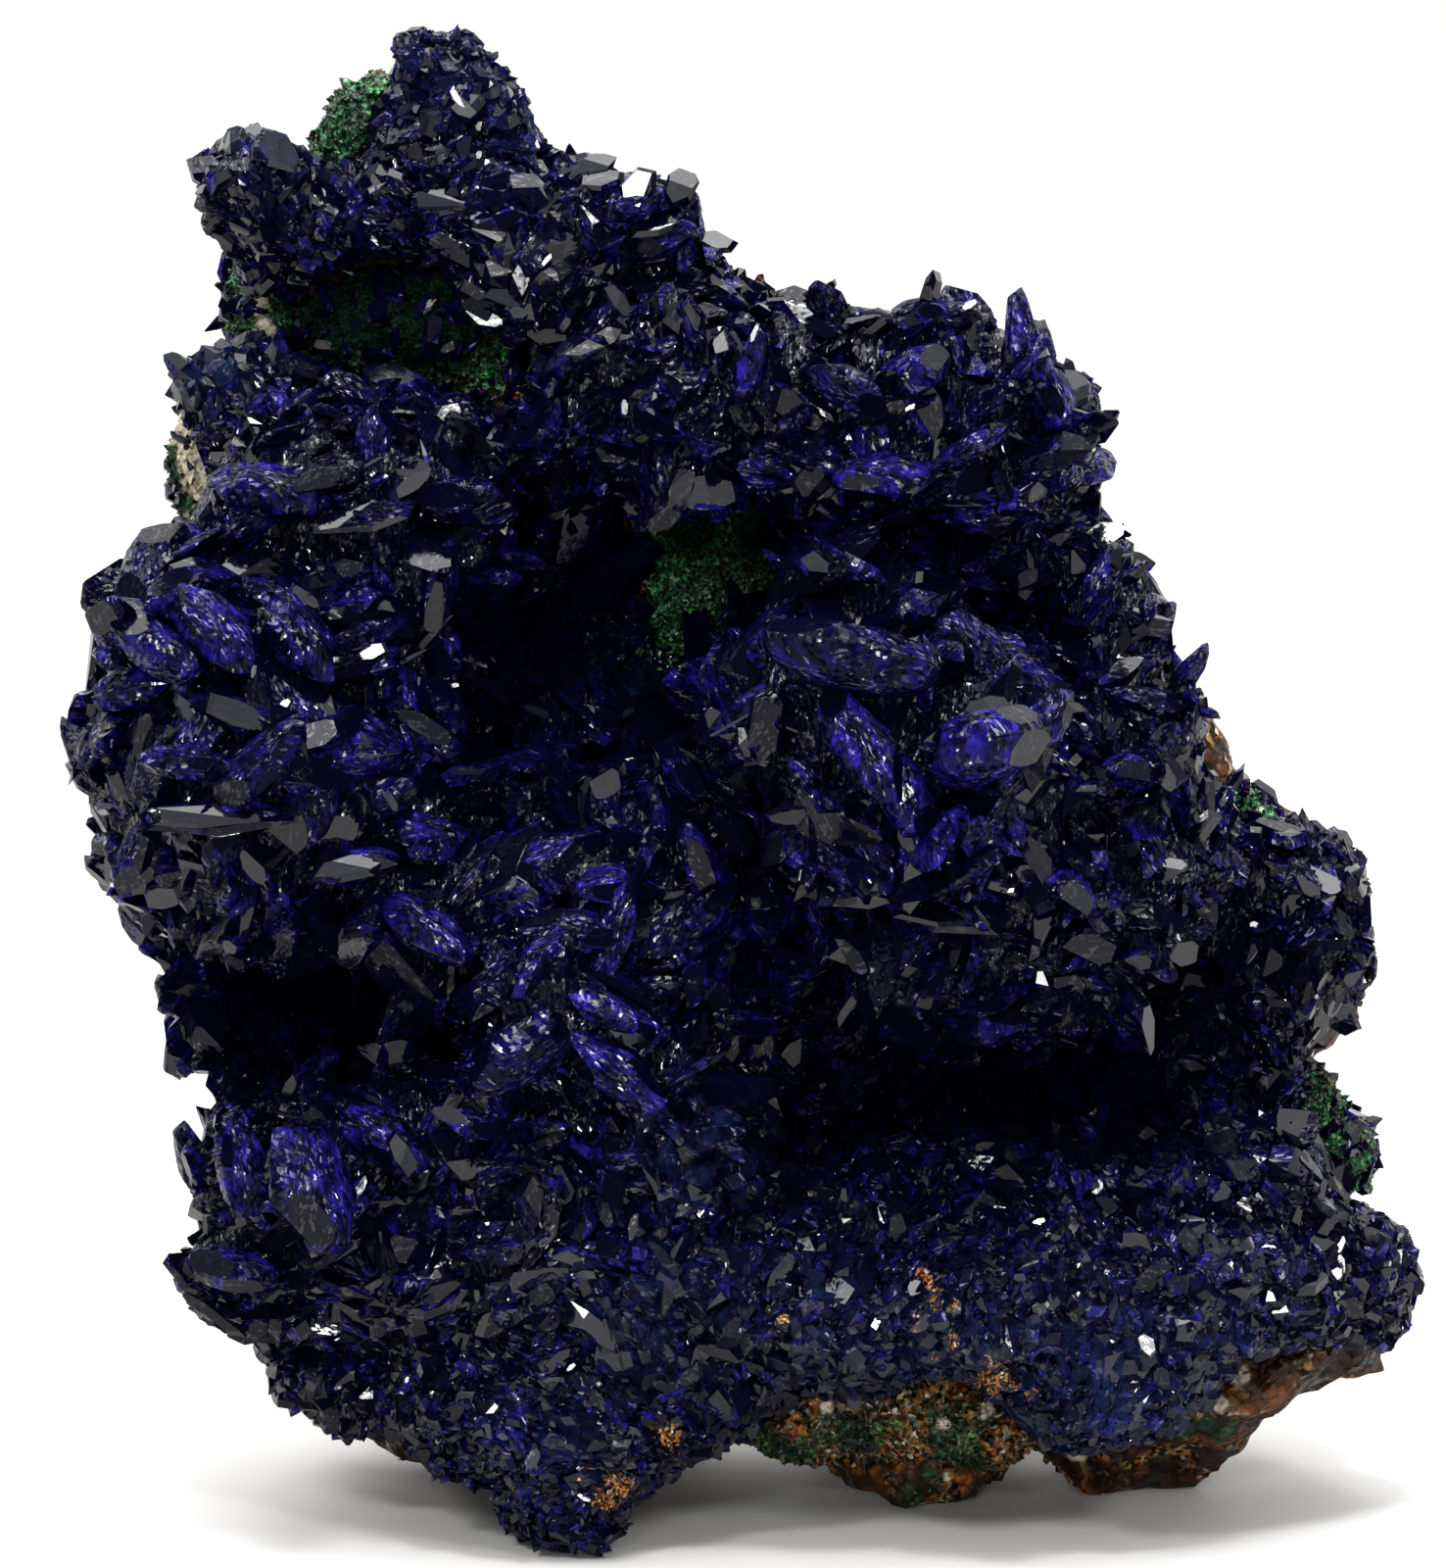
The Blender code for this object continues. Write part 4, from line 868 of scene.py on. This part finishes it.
def bodies(lengths, wide, thick, stout=0.0):
    """Widths, thicknesses and lengths of crystals.

    The width is a random share of the length within the limits, plus the stoutness, and the thickness a
    random share of the width.
    """
    widths = lengths * (chance.uniform(*wide, len(lengths)) + stout)
    return np.stack([widths, widths * chance.uniform(*thick, len(lengths)), lengths], axis=1)


picks = clear_of_known(scattered(site_habit * SMALL_SPACING), SMALL_CLEAR)
middles, normals, habit = site_middles[picks], site_normals[picks], site_habit[picks]
lengths = (SMALL_LEAST_MM + habit * chance.uniform(0.3, 0.7, len(picks))) * MM
sizes = bodies(lengths, (0.3, 0.6), (0.25, 0.6), SHORT_WIDTH_SHARE * shortness(habit))
frames = crystal_frames(middles, normals, (-10, 45))
grow("azurite_small_blades", middles + normals * SMALL_LIFT_MM * MM, frames, sizes, tablet_variants,
     (0.25, 0.4, 0.7), tint=(0.9, 1.6))


# The druse: the finest crystals, about a millimetre long, that glitter on the foot, the shelf and the rim.
# It is thick where the blades stay short, and thins out where they grow long.
CHIP_LEVELS = ((1.0, 0.0), (0.5, 1.0))
DRUSE_BLADE_MM = 3.0
DRUSE_SPACING_MM = 0.68
DRUSE_TOP_MM = 24.0
DRUSE_LIFT_MM = 0.1
chip_variants = make_variants(16, 4, CHIP_LEVELS, 1.0, 1, (0.25, 0.4))
low_down = np.where(on_picture(site_middles)[:, 2] < DRUSE_TOP_MM, 1.0, 0.4)
bare = chance.random(len(site_middles)) < np.clip(DRUSE_BLADE_MM - site_habit, 0.02, 1.0) * low_down
picks = scattered(np.full(len(site_middles), DRUSE_SPACING_MM), bare)
middles, normals = site_middles[picks], site_normals[picks]
sizes = bodies(chance.uniform(0.5, 1.4, len(picks)) * MM, (0.4, 0.9), (0.35, 0.8))
frames = crystal_frames(middles, normals, (-10, 60))
grow("azurite_druse", middles + normals * DRUSE_LIFT_MM * MM, frames, sizes, chip_variants, (0.14, 0.2, 0.4),
     tint=(1.2, 1.5))


# The malachite's needles: tiny tufts and balls that stand up all over its crusts and make them look mossy. In
# the middle hollow they spread over the azurite's ground too.
MOSS_LEVELS = ((1.0, 0.0), (0.35, 1.0))
MOSS_SPACING_MM = 0.5
SPREAD_SPACING_MM = 0.4
UNPOLISHED = (0.0, 0.0, 0.0)
moss_variants = make_variants(12, 3, MOSS_LEVELS, 1.0, 0, (0.5, 0.5))


def first_spaced(middles, order, spacing_mm):
    """Those of the ordered sites that come first in cells of that size."""
    return order[spaced(middles[order], np.full(len(order), spacing_mm * MM))]


def crust_sites(nodes, spacing_mm):
    """Sites on those crusts, in random order, about that far apart."""
    middles, normals = np.concatenate([face_sites(crusts[node]) for node in nodes], axis=1)
    order = first_spaced(middles, chance.permutation(len(middles)), spacing_mm)
    return middles[order], normals[order]


for name, material, nodes in (
        ("malachite_moss", velvet, [node for node in crusts if node not in RUSTY_CRUSTS]),
        ("malachite_moss_rusty", rusty_velvet, RUSTY_CRUSTS)):
    middles, normals = crust_sites(nodes, MOSS_SPACING_MM)
    if material is velvet:
        spread, ways = face_sites(ground)
        there = np.flatnonzero((soft_spots(spread, GREEN_SPOTS) > GREEN_EDGE) & (ways[:, 1] < 0))
        there = first_spaced(spread, there, SPREAD_SPACING_MM)
        middles, normals = np.concatenate([middles, spread[there]]), np.concatenate([normals, ways[there]])
    lengths = chance.uniform(0.3, 0.9, len(middles)) * MM
    widths = lengths * chance.uniform(0.35, 0.8, len(middles))
    sizes = np.stack([widths, widths, lengths], axis=1)
    frames = crystal_frames(middles, normals, (25, 90))
    grow(name, middles, frames, sizes, moss_variants, UNPOLISHED, material=material, slot="malachite",
         marks=STONE_MARKS)


# The rock's crumbs: bits of limonite and ochre earth that cling to the stone and roughen it wherever it is
# bare. None lies on the ground plane, under the azurite or under a crust.
CRUMB_SPACING_MM = 1.3
CRUMB_CLEAR_MM = 0.1
FACING_DOWN = -0.9
crumb_variants = make_variants(12, 5, MOSS_LEVELS, 1.0, 1, (0.25, 0.42))
middles, normals = face_sites(rock)
order = chance.permutation(np.flatnonzero(normals[:, 2] > FACING_DOWN))
order = first_spaced(middles, order, CRUMB_SPACING_MM)
for skin in (ground, *crusts.values()):
    cover = surface_of(skin)
    near = [cover.find_nearest(Vector(at))[:2] for at in middles[order]]
    out = np.array([(Vector(at) - spot).dot(way) for at, (spot, way) in zip(middles[order], near)])
    order = order[out > CRUMB_CLEAR_MM * MM]
middles, normals = middles[order], normals[order]
lengths = chance.uniform(0.4, 1.3, len(order)) * MM
widths = lengths * chance.uniform(0.6, 0.9, len(order))
sizes = np.stack([widths, lengths * 0.6, lengths], axis=1)
frames = crystal_frames(middles, normals, (-20, 60))
grow("rock_crumbs", middles, frames, sizes, crumb_variants, UNPOLISHED, material=limonite, slot="limonite",
     marks=STONE_MARKS)


# The strays: single azurite crystals that sit on the malachite, where the druse gives out at its edges. None
# sits on the bright patches beside the peak and in the middle.
BARE_CRUSTS = RUSTY_CRUSTS + ("malachite_peak_side", "malachite_centre_hollow")
STRAY_SPACING_MM = 1.5
middles, normals = crust_sites([node for node in crusts if node not in BARE_CRUSTS], STRAY_SPACING_MM)
sizes = bodies(chance.uniform(0.8, 2.4, len(middles)) * MM, (0.3, 0.7), (0.3, 0.7))
frames = crystal_frames(middles, normals, (0, 60))
grow("azurite_strays", middles, frames, sizes, tablet_variants, (0.35, 0.5, 1.0))


# The glints and sheens: azurite tablets whose broad side happens to mirror a lamp or the pale sky towards the
# eye, so they shine white or grey. Each lies on the outermost crystals, straight in front of its place.
EYE_MM = 600.0
FRAME_MIDDLE_MM = (-1.4, 0.0, 39.0)
MIRROR_LIFT_MM = 0.15
MIRROR_THICKNESS = 0.3
SKY_PLACE_MM = (0.0, -450.0, 750.0)
# Each lamp's place and the side of its square in millimetres, and its watts.
LAMPS = {
    "spark_left": ((-250, -330, 380), 80, 0.7), "spark_right": ((260, -380, 330), 80, 0.55),
    "spark_top": ((30, -160, 520), 80, 0.8), "spark_low": ((80, -560, 90), 40, 0.4),
    "spark_eye": ((-90, -520, 230), 40, 0.3), "soft_top": ((-60, 60, 620), 500, 3.0),
}
# Each glint's place across and up, its length, width and heading in degrees from across to up, and its lamp.
GLINTS = (
    (-5.6, 69, 2.3, 1.8, 70, "spark_left"), (-19, 45.6, 1.5, 1, 20, "spark_left"),
    (-11, 46.3, 1.1, 0.6, 115, "spark_top"), (-15.3, 57.8, 1.5, 1.1, 30, "spark_right"),
    (-3.2, 37.8, 1, 0.5, 10, "spark_top"), (19.8, 10.9, 1.3, 1, 120, "spark_right"),
    (-13.8, 72.5, 0.6, 0.4, 80, "spark_left"), (-13.8, 71, 0.5, 0.4, 80, "spark_left"),
    (-10.3, 65.5, 0.9, 0.4, 55, "spark_top"), (0.2, 61.5, 1.1, 0.4, 75, "spark_left"),
    (-6.3, 58, 1.1, 0.5, 85, "spark_right"), (-23.3, 43, 0.7, 0.5, 35, "spark_left"),
    (-25.4, 24.3, 0.7, 0.5, 0, "spark_top"), (-19.8, 16.3, 0.7, 0.6, 60, "spark_left"),
    (21.5, 31.3, 0.5, 0.4, 100, "spark_right"), (10.7, 31.5, 0.5, 0.4, 10, "spark_eye"),
    (-13.3, 41.8, 0.5, 0.4, 50, "spark_eye"), (16.2, 25.3, 0.4, 0.3, 20, "spark_eye"),
    (25.7, 31.8, 0.6, 0.4, 0, "spark_right"), (-15, 44, 0.5, 0.3, 10, "spark_low"),
    (8, 57.8, 0.6, 0.4, 20, "spark_left"), (11, 63, 0.9, 0.5, 30, "spark_left"),
    (-2.5, 17.5, 0.5, 0.4, 60, "spark_low"), (14.5, 17, 0.7, 0.4, 20, "spark_low"),
    (-8.4, 3.2, 0.9, 0.3, 150, "spark_low"), (-9, 9.8, 0.6, 0.3, 40, "spark_eye"),
    (-4.6, 67.3, 2.6, 1.8, 20, "soft_top"), (-1.8, 66.6, 2.2, 1.4, -30, "soft_top"),
    (-7.6, 69.6, 2.2, 1.4, 10, "soft_top"), (-3.2, 64.6, 1.8, 1, 60, "soft_top"),
)
# The same for each sheen without a lamp, as all of them mirror one place in the sky.
SHEENS = (
    (-2.7, 47.2, 6.3, 1.7, 92), (-0.6, 48.2, 2.8, 1.1, 115), (3.5, 50, 2, 1.7, 20), (0.7, 33.1, 2, 1.2, 5),
    (9, 32.6, 4, 1.5, -4), (2.2, 41.9, 2.3, 0.7, -20), (-0.3, 41.1, 2.2, 0.8, 95), (-17, 45.5, 2.2, 0.5, 35),
    (-14.5, 45.4, 2.8, 0.5, -25), (10.7, 53.1, 3, 0.6, -3), (-2.3, 53.7, 3.5, 2.2, -15),
    (-5.6, 50.8, 2.4, 1.8, 40), (3.9, 34, 2.4, 1.2, 80), (-25.7, 42.6, 3, 1.7, -25),
    (-28.1, 42.6, 2.1, 0.9, -50), (-27.3, 37.4, 6, 1.3, 3), (-31.6, 38.9, 2.4, 1, -50),
    (-30.2, 38.1, 3, 0.8, 80), (-24.1, 35.5, 3.2, 0.9, 35), (-28.1, 34.5, 2, 0.9, 80),
    (-25.1, 32.6, 2.6, 0.6, 80), (-20.2, 34.8, 3.8, 1.5, 8), (-10.9, 42.7, 1.7, 0.6, -30),
    (-18.1, 38.3, 1.8, 0.5, -60), (-22.4, 48.3, 1.9, 0.9, -40), (-18.7, 48, 1.5, 0.9, -10),
    (-17.5, 20.5, 2.2, 1.2, -60), (-18.8, 14, 2, 0.8, 50), (-17.5, 12, 2, 0.9, 20),
    (-5.9, 16.8, 1.7, 0.5, 80), (-8.3, 14.5, 1, 0.5, 0), (-14.4, 17.6, 1.5, 0.5, 10),
    (-10.9, 5.3, 1.8, 0.9, 80), (-24.2, 24.4, 1.4, 0.6, 80), (11.6, 42.8, 2.7, 1.3, 0),
    (5.8, 37.6, 2.1, 1.3, -60), (8.9, 41.3, 2.4, 0.4, 55), (20.7, 38, 1.6, 0.4, -60),
    (15.7, 42.8, 1.4, 0.6, 0), (14, 50.4, 1.4, 0.6, -70), (13.2, 34.3, 1.5, 0.5, 70),
    (21, 34.6, 1.9, 1.4, 40), (14.6, 32.3, 3, 1.1, 75), (-15.8, 68.6, 3, 1.8, 0), (-24, 71.1, 2.6, 1.9, -40),
    (-8, 70.4, 2.4, 1.4, 10), (-3.6, 69.2, 2.4, 1.8, 50), (-6.7, 63.4, 2.1, 0.9, -60),
    (-11.6, 62.9, 1.4, 1, 20),
)
eye = plane @ Vector(FRAME_MIDDLE_MM) - sight * EYE_MM * MM
graph = bpy.context.evaluated_depsgraph_get()
skins = [BVHTree.FromObject(obj, graph) for obj in bpy.data.objects
         if obj.name.startswith("azurite_") and obj.name != "azurite_crystals" or obj.name.endswith("_crust")]


def mirroring(table, mirrored):
    """Middles, frames and sizes of tablets that stand on the outermost crystals behind their places.

    The broad side faces half-way between the eye and the place in millimetres that it mirrors.
    """
    middles, frames, sizes = [], [], []
    for (across, up, length, width, heading, *_), place_mm in zip(table, mirrored):
        start = plane @ Vector((across, -RAY_START_MM, up))
        hits = [hit for hit in (skin.ray_cast(start, sight)[0] for skin in skins) if hit]
        middle = min(hits, key=lambda hit: (hit - start).length) - sight * MIRROR_LIFT_MM * MM
        facing = ((eye - middle).normalized() + (Vector(place_mm) * MM - middle).normalized()).normalized()
        heading = math.radians(heading)
        aim = plane.to_3x3() @ Vector((math.cos(heading), 0.0, math.sin(heading)))
        aim = (aim - facing * aim.dot(facing)).normalized()
        middles.append(middle)
        frames.append(np.array((facing.cross(aim), facing, aim)))
        sizes.append((width, MIRROR_THICKNESS * width, length))
    return np.array(middles), np.array(frames), np.array(sizes) * MM


sheen_variants = make_variants(12, 6, TABLET_LEVELS, 1.0, 1, (0.3, 0.42))
grow("azurite_sheens", *mirroring(SHEENS, [SKY_PLACE_MM] * len(SHEENS)), sheen_variants, (1.0, 0.6, 1.0),
     shine=(0.8, 1.0))
glint_variants = make_variants(6, 6, TABLET_LEVELS, 1.0, 0, (0.5, 0.5))
grow("azurite_glints", *mirroring(GLINTS, [LAMPS[row[5]][0] for row in GLINTS]), glint_variants,
     (1.0, 0.8, 1.0))


# The floor, the light and the camera. The floor is a plain pale sheet. The sky is pale behind the piece and
# overhead, one broad lamp hangs above, and five small ones give the sparkles. The camera looks a little down.
FLOOR_HALF_M = 1.5
FRAME_HEIGHT_MM = 80.0
SENSOR_MM = 36.0
LAMP_AIM_MM = (0.0, 0.0, 35.0)
FLOOR_PALE = (0.93, 0.92, 0.9, 1.0)
FLOOR_SHADE = (0.55, 0.54, 0.52, 1.0)

floor_mesh = bpy.data.meshes.new("floor")
corners = [(x * FLOOR_HALF_M, y * FLOOR_HALF_M, 0.0) for x, y in ((-1, -1), (1, -1), (1, 1), (-1, 1))]
floor_mesh.from_pydata(corners, [], [(0, 1, 2, 3)])
floor = linked("floor", floor_mesh)
material, tree, shader = new_material("pale_floor")
feed(tree, shader.inputs["Roughness"], 0.6)
feed(tree, shader.inputs["Specular IOR Level"], 0.1)
first_sight = put(tree, "ShaderNodeLightPath").outputs["Is Camera Ray"]
feed(tree, shader.inputs["Base Color"], mixed(tree, first_sight, FLOOR_SHADE, FLOOR_PALE))
floor_mesh.materials.append(material)
world = bpy.data.worlds.new("studio")
bpy.context.scene.world = world
world.use_nodes = True
tree = world.node_tree
sky = tree.nodes["Background"]
place = put(tree, "ShaderNodeTexCoord")
split = put(tree, "ShaderNodeSeparateXYZ", Vector=place.outputs["Generated"])
behind = put(tree, "ShaderNodeMapRange", Value=split.outputs["Y"], From_Min=-0.1, From_Max=0.8, To_Min=0.03,
             To_Max=1.4)
above = put(tree, "ShaderNodeMapRange", Value=split.outputs["Z"], From_Min=0.55, From_Max=1.0, To_Min=0.0,
            To_Max=1.6)
bright = put(tree, "ShaderNodeMath", operation="MAXIMUM")
feed(tree, bright.inputs[0], behind.outputs["Result"])
feed(tree, bright.inputs[1], above.outputs["Result"])
lit = put(tree, "ShaderNodeMix")
feed(tree, lit.inputs[0], put(tree, "ShaderNodeLightPath").outputs["Is Camera Ray"])
feed(tree, lit.inputs[2], bright.outputs[0])
feed(tree, lit.inputs[3], 1.0)
feed(tree, sky.inputs["Strength"], lit.outputs[0])
feed(tree, sky.inputs["Color"], (1.0, 1.0, 1.0, 1.0))


def aimed(obj, place, way):
    """Puts a lamp or the camera at its place in metres, looking that way."""
    obj.location = place
    obj.rotation_mode = "QUATERNION"
    obj.rotation_quaternion = way.to_track_quat("-Z", "Y")


for name, (place_mm, side_mm, watts) in LAMPS.items():
    lamp = bpy.data.lights.new(name, "AREA")
    lamp.size = side_mm * MM
    lamp.energy = watts
    aimed(linked(name, lamp), Vector(place_mm) * MM, Vector(LAMP_AIM_MM) * MM - Vector(place_mm) * MM)

camera_data = bpy.data.cameras.new("camera")
camera = linked("camera", camera_data)
aimed(camera, eye, sight)
camera_data.sensor_width = SENSOR_MM
camera_data.lens = SENSOR_MM * EYE_MM / FRAME_HEIGHT_MM
camera_data.clip_start = 0.01
camera_data.clip_end = 10.0
bpy.context.scene.camera = camera
bpy.context.scene.view_settings.view_transform = "Standard"
